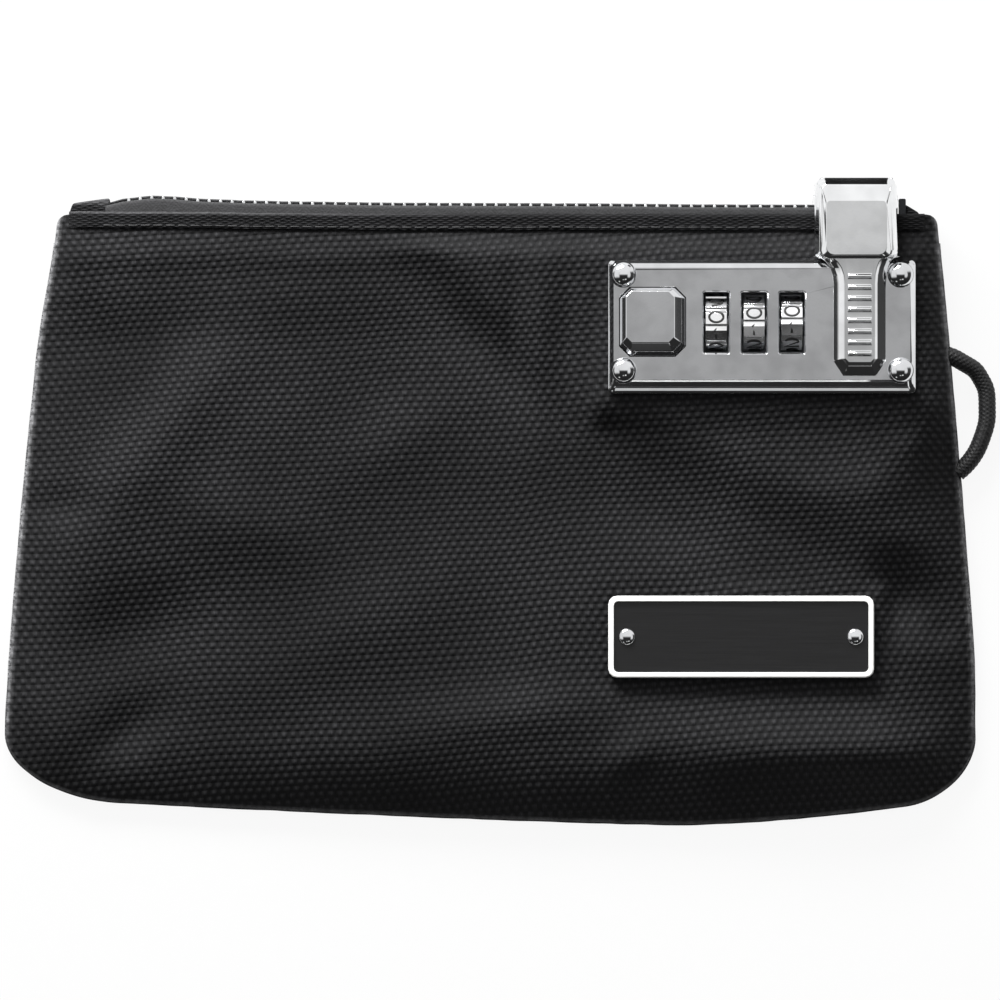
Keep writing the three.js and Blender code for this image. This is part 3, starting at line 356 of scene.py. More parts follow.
# Black paint in the digits: matt and a little uneven
BLACK_INK = painted("enamel_black_filled_digits", "#070707", 0.5, 0.6, 0.004)
# Twisted sewing thread: dark with a faint sheen
SEWING_THREAD = painted("polyester_thread_twisted", "#202021", 0.6, 0.25, 0.05)
# Cord: its strands are modelled, and the material adds their fibres
BRAID = painted("polyester_cord_braided", "#111112", 0.5, 0.22, 0.08, spread=0.9)


# Making pieces
def select_only(made):
    bpy.ops.object.select_all(action="DESELECT")
    made.select_set(True)
    bpy.context.view_layer.objects.active = made


def apply_modifier(made, kind, **settings):
    select_only(made)
    modifier = made.modifiers.new(kind.lower(), kind)
    for key, value in settings.items():
        setattr(modifier, key, value)
    bpy.ops.object.modifier_apply(modifier=modifier.name)


def bevel(made, width_mm, segments, angle, **settings):
    apply_modifier(made, "BEVEL", width=width_mm * MM, segments=segments, limit_method="ANGLE",
                   angle_limit=math.radians(angle), **settings)


def repeat(made, count, pitch_mm):
    apply_modifier(made, "ARRAY", count=count, use_relative_offset=False, use_constant_offset=True,
                   constant_offset_displace=(pitch_mm * MM, 0, 0))


def edit(made, *steps):
    """Runs edit-mode steps on the whole mesh: each an operator of bpy.ops.mesh and its settings."""
    select_only(made)
    bpy.ops.object.mode_set(mode="EDIT")
    for operator, settings in steps:
        bpy.ops.mesh.select_all(action="SELECT")
        getattr(bpy.ops.mesh, operator)(**settings)
    bpy.ops.object.mode_set(mode="OBJECT")


MERGE = ("remove_doubles", {"threshold": 1e-6})
OUTWARD = ("normals_make_consistent", {"inside": False})
# Castings: degrees within which faces become one, and from which an edge is shaded sharp
FLAT_WITHIN = 1.0
SHARP_FROM = 42


def settle(made):
    """Puts the object at the origin, unturned and unscaled, with its place in its mesh."""
    select_only(made)
    bpy.ops.object.transform_apply(location=True, rotation=True, scale=True)


def dress(made, material, body, replaced=(), crease=None):
    """Gives a piece its material, shading and the body that it rides on."""
    made.data.materials.clear()
    made.data.materials.append(material)
    select_only(made)
    if crease:
        bpy.ops.object.shade_smooth_by_angle(angle=math.radians(crease))
    else:
        bpy.ops.object.shade_smooth()
    if replaced:
        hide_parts(*replaced)
    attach(made, body)
    return made


def add_object(name, data):
    made = bpy.data.objects.new(name, data)
    bpy.context.scene.collection.objects.link(made)
    return made


def mesh_object(name, points, faces=(), edges=()):
    mesh = bpy.data.meshes.new(name)
    mesh.from_pydata([tuple(p) for p in points], edges, faces)
    mesh.validate()
    return add_object(name, mesh)


def sweep(name, rings):
    """A closed skin through rings of points, capped at both ends. For cords, hems and tapes."""
    size = len(rings[0])
    points = [p for ring in rings for p in ring]
    faces = []
    for i in range(len(rings) - 1):
        for k in range(size):
            a, b = i * size + k, i * size + (k + 1) % size
            faces.append((a, b, b + size, a + size))
    last = (len(rings) - 1) * size
    faces += [tuple(reversed(range(size))), tuple(range(last, last + size))]
    made = mesh_object(name, points, faces)
    edit(made, MERGE, OUTWARD)
    return made


def cube(name, size, place=(0, 0, 0), edge=0.0, segments=2):
    """A block with rounded edges, in metres."""
    bpy.ops.mesh.primitive_cube_add(size=1, location=place)
    made = bpy.context.active_object
    made.name = name
    made.scale = size
    settle(made)
    if edge:
        edit(made, ("bevel", {"offset": edge, "segments": segments}))
    return made


def turned(name, centre, profile, steps=40):
    """A body turned from a profile of radius and height, in metres, that ends on the axis."""
    points = [Vector((centre.x + r, centre.y, z)) for r, z in profile]
    made = mesh_object(name, points, edges=[(i, i + 1) for i in range(len(points) - 1)])
    axis = (centre.x, centre.y, 0)
    spin = {"steps": steps, "angle": 2 * math.pi, "center": axis, "axis": (0, 0, 1)}
    edit(made, ("spin", spin))
    edit(made, MERGE, OUTWARD)
    return made


def dressed_copy(node_name, name, material, edge_mm, segments=2, angle=25, shape=None,
                 merge_mm=0.002, clamped=True):
    """A CAD node's shape with flat faces whole again and edges rounded, in place of the node."""
    source = frame["nodes"][node_name]
    made = source.copy()
    made.data = source.data.copy()
    made.name = name
    made.parent = None
    made.matrix_world = source.matrix_world.copy()
    bpy.context.scene.collection.objects.link(made)
    settle(made)
    edit(made, ("remove_doubles", {"threshold": merge_mm * MM}))
    if shape:
        for vertex in made.data.vertices:
            vertex.co = spot(*shape(*pouch_mm(vertex.co)))
    edit(made, ("dissolve_limited", {"angle_limit": math.radians(FLAT_WITHIN)}))
    bevel(made, edge_mm, segments, angle, use_clamp_overlap=clamped)
    dress(made, material, body_of_node(node_name), (node_name,), SHARP_FROM)
    apply_modifier(made, "WEIGHTED_NORMAL", mode="FACE_AREA", weight=90, keep_sharp=True)
    return made


def body_of_node(node_name):
    for body, nodes in frame["record"]["behaviour"]["bodies"].items():
        if node_name in nodes:
            return body
    return "pouch"


# Outline of the cloth body
def lean(y, start, power):
    """How far a side has leant in, 0 at the height where it starts and 1 at the mouth."""
    t = (y - start) / (MOUTH_Y - start)
    return t ** power if t > 0 else 0


def left_edge(y):
    pinch = LEFT_PINCH * smooth(*LEFT_PINCH_Y, y)
    return pinch - mix(HALF_BOTTOM, HALF_MOUTH, lean(y, *LEFT_LEAN))


def right_edge(y):
    share = lean(y, *RIGHT_LEAN)
    return mix(HALF_BOTTOM - RIGHT_BOTTOM_IN, HALF_MOUTH + RIGHT_MOUTH_OUT, share)


def bottom_line(x):
    rise, run, power = BOTTOM_LEFT if x < LOWEST_X else BOTTOM_RIGHT
    return rise * (abs(x - LOWEST_X) / run) ** power


def corner_rise(distance, reach, high):
    e = clamp(1 - distance / reach)
    return high * (1 - math.sqrt(1 - e * e))


def bottom_edge(x, from_left, from_right):
    rise = bottom_line(x) + corner_rise(from_left, *LEFT_CORNER)
    return rise + corner_rise(from_right, *RIGHT_CORNER)


def over_bottom(x, y):
    """Height of a point over the bottom edge."""
    return y - bottom_edge(x, x - left_edge(y), right_edge(y) - x)


def top_edge(from_left, from_right):
    return MOUTH_Y - corner_rise(from_left, *MOUTH_CORNER) - corner_rise(from_right, *MOUTH_CORNER)


def grid_place(u, v):
    """The point a share u from the left edge and v up from the bottom edge."""
    y = 60.0
    for _ in range(7):
        left, right = left_edge(y), right_edge(y)
        x = mix(left, right, u)
        y = mix(bottom_edge(x, x - left, right - x), top_edge(x - left, right - x), v)
    return x, y


# Camera and cord come first
def make_camera():
    """Straight down from far above, at the photo's scale."""
    data = bpy.data.cameras.new("camera")
    made = add_object("camera", data)
    middle = spot((PICTURE / 2 - PIXEL_X0) * PIXEL, (PIXEL_Y0 - PICTURE / 2) * PIXEL, 0)
    made.location = (middle.x, middle.y, CAMERA_HEIGHT)
    data.sensor_width = 36
    distance = CAMERA_HEIGHT - SCALE_Z * MM
    data.lens = data.sensor_width * distance / (PICTURE * PIXEL * MM)
    data.clip_start = 0.05
    data.clip_end = 10
    bpy.context.scene.camera = made


make_camera()

CORD_D = 3.7
# The cord's route, as in the part: distance outside the side seam, y and z
CORD = [(-0.7, 98.3, 4.6), (0.9, 97.7, 4.4), (2.6, 96.7, 3.9), (4.9, 95.2, 2.9), (6.1, 93.3, 2.3),
        (7.0, 90.8, 2.0), (6.9, 87.2, 2.0), (6.4, 83.8, 2.0), (4.5, 79.3, 2.0), (2.8, 76.7, 2.0),
        (1.0, 74.8, 2.0), (-0.5, 73.6, 2.0)]
CORD_STEPS = 14
CORD_AROUND = 48
STRANDS_EACH_WAY = 8
CORD_LAY = 7.2
# Shares of the cord's radius: up to the gaps between the strands, and the strands above them
CORD_CORE = 0.86
CORD_RELIEF = 0.14


def catmull(points, steps):
    """A smooth line through given points."""
    padded = [points[0] * 2 - points[1], *points, points[-1] * 2 - points[-2]]
    line = []
    for i in range(1, len(padded) - 2):
        a, b, c, d = padded[i - 1:i + 3]
        for k in range(steps):
            t = k / steps
            line.append(0.5 * ((2 * b) + (c - a) * t + (2 * a - 5 * b + 4 * c - d) * t ** 2
                               + (3 * b - a - 3 * c + d) * t ** 3))
    line.append(points[-1])
    return line


def direction_along(line, i):
    return (line[min(i + 1, len(line) - 1)] - line[max(i - 1, 0)]).normalized()


def angles_round(count):
    return [2 * math.pi * k / count for k in range(count)]


def braided_cord():
    """Braid: the strands wind both ways and push the surface out in a diamond pattern."""
    line = catmull([spot(right_edge(y) + out, y, z) for out, y, z in CORD], CORD_STEPS)
    radius = CORD_D / 2 * MM
    travelled = 0.0
    rings = []
    for i, point in enumerate(line):
        if i:
            travelled += (point - line[i - 1]).length
        side = direction_along(line, i).cross(Vector((0, 0, 1))).normalized()
        up = side.cross(direction_along(line, i))
        twist = 2 * math.pi * travelled / (CORD_LAY * MM)
        ring = []
        for angle in angles_round(CORD_AROUND):
            left = abs(math.sin(STRANDS_EACH_WAY / 2 * (angle + twist)))
            right = abs(math.sin(STRANDS_EACH_WAY / 2 * (angle - twist)))
            r = radius * (CORD_CORE + CORD_RELIEF * max(left, right) ** 1.5)
            ring.append(point + side * (r * math.cos(angle)) + up * (r * math.sin(angle)))
        rings.append(ring)
    made = sweep("cord_loop_braid", rings)
    dress(made, BRAID, "pouch", ("cord_loop",))


braided_cord()


# Cloth. A pair of numbers is where a change begins and where it is complete.
# The seam climbs towards the mouth: how high, and between which heights
SEAM_CLIMB_LEFT = (2.6, 96, 122)
SEAM_CLIMB_RIGHT = (3.4, 68, 98)
# Run over which the cloth rises from its edge: low down, at the mouth, and where that changes
RISE_LEFT = (22, 7, 98, 122)
RISE_RIGHT = (22, 6.2, 66, 88)
RISE_BOTTOM = 15
EDGE_RADIUS = 1.1


def seam_z(x, y):
    climb, low, high = SEAM_CLIMB_RIGHT if x > 0 else SEAM_CLIMB_LEFT
    return SEAM_HALF + climb * smooth(low, high, y)


def edge_rise(distance, reach):
    return 1 - (1 - clamp(distance / reach)) ** 2


def side_rise(distance, y, run_below, run_above, low, high):
    return edge_rise(distance, mix(run_below, run_above, smooth(low, high, y)))


def inward(x, y):
    """How far the cloth has risen from its sewn edge, 0 at the edge and 1 inside."""
    left = side_rise(x - left_edge(y), y, *RISE_LEFT)
    right = side_rise(right_edge(y) - x, y, *RISE_RIGHT)
    return left * right * edge_rise(over_bottom(x, y), RISE_BOTTOM)


def edge_distance(x, y):
    return max(0.0, min(x - left_edge(y), right_edge(y) - x, over_bottom(x, y)))


# Soft folds and hollows: centre x, y, radius along and across, turn in degrees, rise
FOLDS = [(-68, 82, 26, 7.5, 51, 1.6), (-58, 73, 27, 15, 51, 1.1), (-74, 41, 15, 10, 20, -2.1),
         (-93, 66.8, 9, 4.2, 0, -1.5), (-77, 19.0, 10, 5.2, 38, -1.4), (-30, 40, 22, 9, 30, 0.9),
         (2, 22, 20, 6.5, 8, 1.5), (68, 15.5, 32, 6.5, -3, 2.4), (29, 14, 6, 4, 35, 1.0),
         (-2.5, 103, 19, 5.0, -50, -1.1), (10.3, 104, 13, 2.2, 90, 0.6),
         (16, 104, 13, 2.0, 90, -0.5), (4.5, 106, 11, 2.0, 90, -0.5), (95, 40.5, 3.0, 3.0, 8, -1.1),
         (-50, 62, 12, 7, -20, 0.8), (-20, 80, 18, 7, 35, 0.6), (40, 62, 22, 7, -27, -0.9),
         (-74, 15, 32, 34, 0, -1.8), (78, 70, 14, 5, -5, 0.8)]
FOLDS_GAIN = 1.3

# Shoulder of the cloth below the lock: it falls away across a line
SHOULDER_FROM = (22.8, 86.0)
SHOULDER_TO = (98.0, 47.5)
SHOULDER_HIGH = 2.7
SHOULDER_HALF = 7.0
SHOULDER_WEST = (14, 34)
SHOULDER_NORTH = (112, 96)

# Crease where the cloth beside the badge buckles: a point of it, its slope, depth and reach
CREASE_AT = (86, 47.4)
CREASE_SLOPE = 0.04
CREASE_DEEP = 3.4
CREASE_UP = 15.0
CREASE_DOWN = 12.5
CREASE_WEST = (76, 87)

# Roll of the cloth just below the hem: its y, half width and height, and where it begins
ROLL_Y = 119.2
ROLL_HALF = 3.3
ROLL_HIGH = 0.6
ROLL_EAST = (24, 8)

# Climb of the cloth to the lock from the left, up from its foot and across a line
TENT_FOOT = 84
TENT_TALL = 33
TENT_AT = (10.2, 90.9)
TENT_SLOPE = 0.85
TENT_ACROSS = (-11, 7)

# Slow waves: length in x and y, and height. Puckers: pitch, length, height and run from the seam
WAVES = (26, 19, 0.45)
PUCKERS = (3.4, 14, 0.3, 4.5)

# Where the cloth sits at the lock's height, and where it is held flat
LOCK_WEST = (18.5, 24)
LOCK_SOUTH = (81.5, 89.4)
LOCK_NORTH = (118.8, 123.9)
HEM_SOUTH = (100, 114)
FLAT_PLATE = ((16, 23), (83, 89.5))
FLAT_BADGE = ((20, 24), (84, 80.5), (27, 30), (51.5, 48.5))
FLAT_HEM = (118, 121)
BACK_CLIMB = (104, 118.8)
BACK_STEEPER = 1.7
BACK_PUCKER = 0.6


def folds(x, y):
    rise = 0.0
    for cx, cy, rx, ry, turn, high in FOLDS:
        a = math.radians(turn)
        u = ((x - cx) * math.cos(a) + (y - cy) * math.sin(a)) / rx
        v = ((y - cy) * math.cos(a) - (x - cx) * math.sin(a)) / ry
        rise += high * math.exp(-(u * u + v * v))
    return FOLDS_GAIN * rise - crease(x, y)


def crease(x, y):
    crease_x, crease_y = CREASE_AT
    above = y - crease_y - CREASE_SLOPE * (x - crease_x)
    reach = 1 - smooth(0, CREASE_UP, above) if above > 0 else 1 - smooth(0, CREASE_DOWN, -above)
    return CREASE_DEEP * reach * smooth(*CREASE_WEST, x)


def shoulder(x, y):
    """Height of the cloth between the lock and the right edge over the belly."""
    run = Vector(SHOULDER_TO) - Vector(SHOULDER_FROM)
    over = Vector((x, y)) - Vector(SHOULDER_FROM)
    distance = (run.x * over.y - run.y * over.x) / run.length
    high = SHOULDER_HIGH * smooth(-SHOULDER_HALF, SHOULDER_HALF, distance)
    return high * smooth(*SHOULDER_WEST, x) * smooth(*SHOULDER_NORTH, y)


def hem_roll(x, y):
    """The cloth rolls over towards the mouth just below the hem."""
    return ROLL_HIGH * math.exp(-((y - ROLL_Y) / ROLL_HALF) ** 2) * smooth(*ROLL_EAST, x)


def tent(x, y):
    """How far the cloth left of the lock has climbed to its height, beyond a slanting line."""
    tent_x, tent_y = TENT_AT
    beyond = x - tent_x + TENT_SLOPE * (y - tent_y)
    return clamp((y - TENT_FOOT) / TENT_TALL) * smooth(*TENT_ACROSS, beyond)


def ripple(x, y):
    """Slow waves of slack cloth, and short puckers that run in from the seams."""
    long_x, long_y, wave_high = WAVES
    slow = wobble(x / long_x, y / long_y, 3.1) * wave_high
    distance = edge_distance(x, y)
    on_side = distance < over_bottom(x, y) - 1e-6
    along = y if on_side else x
    pitch, long, pucker_high, run = PUCKERS
    pucker = wobble(along / pitch, distance / long, 7.7) * pucker_high
    return slow, pucker * math.exp(-distance / run)


def flat_here(x, y):
    """1 under the lock plate, the badge and the hem, where the cloth is held flat."""
    west, south = FLAT_PLATE
    plate = smooth(*west, x) * smooth(*south, y)
    west, east, south, north = FLAT_BADGE
    badge = smooth(*west, x) * smooth(*east, x) * smooth(*south, y) * smooth(*north, y)
    return max(plate, badge, smooth(*FLAT_HEM, y))


def edge_roll(x, y):
    return math.sqrt(1 - (1 - clamp(edge_distance(x, y) / EDGE_RADIUS)) ** 2)


def front_z(x, y):
    beside = smooth(*LOCK_WEST, x) * smooth(*LOCK_SOUTH, y)
    under = max(beside, tent(x, y)) * (1 - smooth(*LOCK_NORTH, y))
    belly = mix(BELLY_Z, HEM_Z, smooth(*HEM_SOUTH, y)) + shoulder(x, y) + hem_roll(x, y)
    inside = mix(belly, SEAT_Z, under)
    slow, pucker = ripple(x, y)
    slack = 1 - flat_here(x, y)
    inside += (folds(x, y) + slow) * slack
    edge = seam_z(x, y) + SEAM_HALF * edge_roll(x, y)
    return mix(edge, inside, inward(x, y)) + pucker * edge_roll(x, y) * slack


def back_z(x, y):
    inside = BACK_MOUTH_Z * smooth(*BACK_CLIMB, y)
    _, pucker = ripple(x, y)
    edge = seam_z(x, y) - SEAM_HALF * edge_roll(x, y)
    cloth = mix(edge, inside, clamp(BACK_STEEPER * inward(x, y)))
    return max(0.0, cloth + abs(pucker) * edge_roll(x, y) * BACK_PUCKER)


# Shares of the width and the height at which the grid is closer, at the sewn edges
NEAR_SIDE = [0.0, 0.0006, 0.002, 0.0042, 0.0075, 0.012, 0.018]
NEAR_BOTTOM = [0.0, 0.001, 0.0034, 0.0075, 0.0125]


def cloth_panel(name, z_of, thickness, columns, rows, hole=None):
    """One panel over the whole outline. A thickness above 0 goes down, and one below 0 goes up."""
    west, east = NEAR_SIDE[-1], 1 - NEAR_SIDE[-1]
    across = NEAR_SIDE + [mix(west, east, (i + 1) / columns) for i in range(columns - 1)]
    across += [1 - share for share in reversed(NEAR_SIDE)]
    up = NEAR_BOTTOM + [mix(NEAR_BOTTOM[-1], 1, (j + 1) / rows) for j in range(rows)]
    flat = [grid_place(u, v) for v in up for u in across]
    wide = len(across)
    faces = [(j * wide + i, j * wide + i + 1, (j + 1) * wide + i + 1, (j + 1) * wide + i)
             for j in range(len(up) - 1) for i in range(wide - 1)]
    if hole:
        x0, x1, y0, y1 = hole
        inside = {i for i, (x, y) in enumerate(flat) if x0 < x < x1 and y0 < y < y1}
        faces = [f for f in faces if not all(i in inside for i in f)]
        used = sorted({i for f in faces for i in f})
        renumber = {old: new for new, old in enumerate(used)}
        flat = [flat[i] for i in used]
        faces = [tuple(renumber[i] for i in f) for f in faces]
    made = mesh_object(name, [spot(x, y, z_of(x, y)) for x, y in flat], faces)
    side = -1 if thickness > 0 else 1
    apply_modifier(made, "SOLIDIFY", thickness=abs(thickness) * MM, offset=side)
    return made


def store_painted_highlight(made, share_of):
    """Stores how far a folded edge's yarns are painted grey as a highlight, from 0 to 1, for the
    cloth's look.
    """
    painted_highlight = made.data.attributes.new("painted_highlight", "FLOAT", "POINT")
    for vertex, value in zip(made.data.vertices, painted_highlight.data):
        value.value = share_of(*pouch_mm(vertex.co))


def edge_highlight(x, y, z):
    """Painted highlight: yarns made grey along the sewn edge where it catches the light, most of
    all at the sides.
    """
    side = min(x - left_edge(y), right_edge(y) - x)
    at_side = 0.75 * smooth(1.1, 0.2, side) * smooth(6, 30, y)
    at_bottom = 0.4 * smooth(0.9, 0.2, over_bottom(x, y))
    return max(at_side, at_bottom) * (1 + noise.noise(Vector((x, y, 0)) / 1.7))


def cloth_body():
    (x0, y0, _), (x1, y1, _) = box_mm("lock_case")
    room = 0.2
    hole = (x0 - room, x1 + room, y0 - room, y1 + room)
    front = cloth_panel("front_cloth", front_z, CLOTH, 190, 130, hole)
    dress(front, POLYESTER_CANVAS, "pouch", ("front_panel",))
    store_painted_highlight(front, edge_highlight)
    back = cloth_panel("back_cloth", back_z, -CLOTH, 120, 80)
    dress(back, POLYESTER_CANVAS, "pouch", ("back_panel",))


cloth_body()


def seam_welt():
    """The turned edge along sides and bottom: a thin roll in the groove between the panels."""
    sides, under, around, top = 70, 200, 10, 0.965
    half_thick, uneven, sunk, flatness = 0.62, 0.1, 0.42, 0.85
    shares = [(0.0, top * (1 - k / sides)) for k in range(sides)]
    shares += [(0.5 - 0.5 * math.cos(math.pi * k / under), 0.0) for k in range(under + 1)]
    shares += [(1.0, top * (k + 1) / sides) for k in range(sides)]
    places = [grid_place(u, v) for u, v in shares]
    line = [Vector((x, y, seam_z(x, y))) for x, y in places]
    rings = []
    for i, p in enumerate(line):
        out = direction_along(line, i).cross(Vector((0, 0, 1))).normalized()
        thick = half_thick + uneven * wobble(p.x / 5, p.y / 5, 1.3)
        middle = p - out * sunk
        ring = []
        for a in angles_round(around):
            up = Vector((0, 0, math.sin(a) * thick * flatness))
            ring.append(spot(*(middle + out * (math.cos(a) * thick) + up)))
        rings.append(ring)
    made = dress(sweep("seam_welt", rings), FOLDED_CANVAS, "pouch", ("seam_tape",))

    # Painted highlight on the welt, stronger up the sides
    def highlight_share(x, y, z):
        return (0.2 + 0.6 * smooth(14, 34, y)) * (1 + noise.noise(Vector((x, y, z)) / 2.3))

    store_painted_highlight(made, highlight_share)


seam_welt()

# Hem: how far its fold stands over the mouth, and how far from the mouth's ends it thins and stops
HEM_OVER = 0.02
HEM_OVER_LEFT = 0.45
HEM_LEFT = (-80, -20)
HEM_UNEVEN = 0.1
HEM_STOP_LEFT = 2.4
HEM_STOP_RIGHT = 2.6
HEM_THIN_RUN = 1.2
HEM_THIN = 0.35
ALONG_MOUTH = 320
# Section of a hem: y down from its folded edge and height over the cloth, once round
HEM_SECTION = [(-3.45, 0.1), (-3.4, 0.36), (-3.05, 0.5), (-2.3, 0.5), (-1.5, 0.55), (-0.9, 0.68),
               (-0.45, 0.7), (-0.1, 0.5), (0.08, 0.2), (0.12, -0.2), (0.06, -0.75), (-0.16, -0.75),
               (-0.2, 0.03), (-3.3, 0.03)]


def hem_top(x):
    """The folded edge of the hem: it stands a little higher at the left."""
    uneven = HEM_UNEVEN * wobble(x / 9, 4.0, 1.0)
    return MOUTH_Y + HEM_OVER + HEM_OVER_LEFT * (1 - smooth(*HEM_LEFT, x)) + uneven


def hem(name, z_of, side, node_name):
    """Strip turned over the mouth, with a soft fold at its top edge."""
    rings = []
    x0, x1 = left_edge(MOUTH_Y) + HEM_STOP_LEFT, right_edge(MOUTH_Y) - HEM_STOP_RIGHT
    for i in range(ALONG_MOUTH + 1):
        x = mix(x0, x1, i / ALONG_MOUTH)
        end = smooth(0, HEM_THIN_RUN, min(x - x0, x1 - x))
        ring = []
        for down, over in HEM_SECTION:
            y = hem_top(x) + down
            wave = 0.0
            if over > 0.2:
                wave = HEM_UNEVEN * wobble(x / 5, down / 1.5, side * 9.0)
            if over > 0:
                over *= mix(HEM_THIN, 1, end)
            ring.append(spot(x, y, z_of(x, min(y, MOUTH_Y - 0.4)) + side * (over + wave)))
        rings.append(ring)
    made = dress(sweep(name, rings), FOLDED_CANVAS, "pouch", (node_name,))

    # Painted highlight along the hem's folded edge, strongest at the left and gone towards the
    # right
    def highlight_share(x, y, z):
        at_fold = smooth(0.3, 0.05, abs(y - hem_top(x) + HEM_OVER))
        return at_fold * mix(0.2, 0.0, smooth(-70, 10, x))

    store_painted_highlight(made, highlight_share)


hem("front_hem_fold", front_z, 1, "front_hem")
hem("back_hem_fold", back_z, -1, "back_hem")


def stitch_row(name, z_of, side, from_x, to_x):
    """One bar-shaped stitch, modelled once, repeated along the hem and laid on it."""
    pitch, length, thick, down, over = 2.6, 1.9, 0.3, 2.75, 0.5
    size = (length * MM, thick * MM, thick * MM)
    made = cube(name, size, spot(from_x, 0, 0), thick * 0.3 * MM)
    repeat(made, int((to_x - from_x) / pitch), pitch)
    for vertex in made.data.vertices:
        x, y, z = pouch_mm(vertex.co)
        line = hem_top(x) - down
        vertex.co = spot(x, line + y, z_of(x, line) + side * over + z)
    dress(made, SEWING_THREAD, "pouch")


stitch_row("front_hem_stitches", front_z, 1, -80.0, 66.0)
stitch_row("back_hem_stitches", back_z, -1, -80.0, 84.0)


# Zipper
# Top edge of the closed zipper: x and y along it, from the left end tab to the slider
ZIP_LINE = [(-81, 129.3), (-77, 130.3), (-71, 131.0), (-66, 130.8), (-61, 130.35), (-50, 129.95),
            (-40, 129.75), (-19, 129.5), (23, 129.35), (44, 129.15), (60, 129.1), (90, 129.1)]
# Section of a tape: y from its top and distance from the middle of the chain, once round
TAPE_SECTION = [(-0.05, 1.75), (0.0, 2.2), (-0.06, 2.6), (-0.3, 2.86), (-0.7, 2.95), (-3.0, 2.96),
                (-9.5, 2.95), (-9.5, 2.52), (-3.0, 2.52), (-0.7, 2.5), (-0.42, 2.35), (-0.45, 1.75)]
TAPE_FROM_X = -80.6
TAPE_UNEVEN = 0.07
BACK_TAPE_OVER = 0.62
FRONT_TEETH_OVER = 0.5


def zip_top(x):
    for (x0, y0), (x1, y1) in zip(ZIP_LINE, ZIP_LINE[1:]):
        if x <= x1:
            return mix(y0, y1, clamp((x - x0) / (x1 - x0)))
    return ZIP_LINE[-1][1]


def zipper_tape(name, side, node_name):
    """Tape that leaves the teeth sideways, folds and runs down behind the hem."""
    x0, x1 = TAPE_FROM_X, box_mm(node_name)[1][0]
    over = BACK_TAPE_OVER if side < 0 else 0.0
    rings = []
    for i in range(ALONG_MOUTH + 1):
        x = mix(x0, x1, i / ALONG_MOUTH)
        top = zip_top(x) + over + TAPE_UNEVEN * wobble(x / 3, side * 5.0, 2.0)
        rings.append([spot(x, top + down, CHAIN_Z + side * out) for down, out in TAPE_SECTION])
    dress(sweep(name, rings), ZIPPER_TAPE, "pouch", (node_name,))


def tooth_row(name, side):
    """Stamped teeth with a waist and a round head, modelled once and repeated along the row."""
    waist_deep, waist_at, waist_run, top_narrow = 0.22, 0.2, 0.35, 0.6
    made = cube(name, (TOOTH_WIDE * MM, TOOTH_H * MM, TOOTH_LONG * MM))
    edit(made, ("subdivide", {"number_cuts": 2}))
    for vertex in made.data.vertices:
        head = -vertex.co.z / (TOOTH_LONG / 2 * MM)
        waist = 1 - waist_deep * math.exp(-((head - waist_at) / waist_run) ** 2)
        vertex.co.x *= waist * (top_narrow if vertex.co.y > TOOTH_H * 0.4 * MM else 1)
    bevel(made, 0.2, 2, 50)
    stagger = 0 if side > 0 else TOOTH_PITCH / 2
    x0 = box_mm("zipper_front")[0][0] + TOOTH_START + stagger
    repeat(made, int((TOOTH_END_X - x0) / TOOTH_PITCH) + 1, TOOTH_PITCH)
    for vertex in made.data.vertices:
        dx, dy, dz = vertex.co / MM
        x = x0 + dx
        top = zip_top(x) + (FRONT_TEETH_OVER if side > 0 else 0.0)
        y = mix(top - TOOTH_H, top, 0.5 + dy / TOOTH_H)
        vertex.co = spot(x, y, CHAIN_Z + side * (dz + TOOTH_OUT))
    if side < 0:
        edit(made, ("flip_normals", {}))
    dress(made, TOOTH_NICKEL, "pouch", (), 40)


zipper_tape("zipper_tape_front", 1, "zipper_front")
zipper_tape("zipper_tape_back", -1, "zipper_back")
tooth_row("zipper_teeth_front", 1)
tooth_row("zipper_teeth_back", -1)


def end_tab(name, node_name, slant, wider, taller):
    """Cloth folded over the end of the zipper: a soft block, pinched where it is sewn in."""
    rounding, lean_in, uneven_z, uneven_x = 0.7, 1.3, 0.25, 0.15
    lo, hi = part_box(node_name)
    lo.x -= wider * MM
    hi.y += taller * MM
    made = cube(name, hi - lo, (lo + hi) / 2, rounding * MM, 3)
    apply_modifier(made, "SUBSURF", levels=2)
    on_left = slant > 0
    for vertex in made.data.vertices:
        co = vertex.co
        up = (co.y - lo.y) / (hi.y - lo.y)
        right = (co.x - lo.x) / (hi.x - lo.x)
        co.y -= slant * MM * up * (1 - right if on_left else -right)
        co.x += lean_in * MM * up * up * (1 - right) if on_left else 0.0
        co.z += noise.noise(co * 420) * uneven_z * MM
        co.x += noise.noise(co * 300 + Vector((5, 1, 2))) * uneven_x * MM * up
    dress(made, FOLDED_CANVAS, "pouch", (node_name,))
    top = pouch_mm(hi)[1]

    # Painted highlight along the top edge of the left tab only
    def highlight_share(x, y, z):
        return 0.2 * smooth(slant + 0.5, slant, top - y) if on_left else 0.0

    store_painted_highlight(made, highlight_share)


end_tab("end_tab_left_fold", "end_tab_left", 1.1, 1.2, 0.6)
end_tab("end_tab_right_fold", "end_tab_right", -2.0, 0.8, 1.1)

# Metal parts: the CAD castings with rounded edges
# Pull: the hood's middle, the ribs and how narrow their tops are, and the hood's narrowing and fall
PULL_X = 76.2
RIB_Y = 98.5
RIB_PITCH = 2.3
RIB_TOP_Z = 17.95
RIBS_END_Y = 116.5
RIB_TOP_SHARE = 0.34
HOOD_NARROW = 0.15
HOOD_NARROW_Y = (133.5, 135.3)
HOOD_Z = 15.9
HOOD_Y = 119.2
HOOD_FALL = 0.007
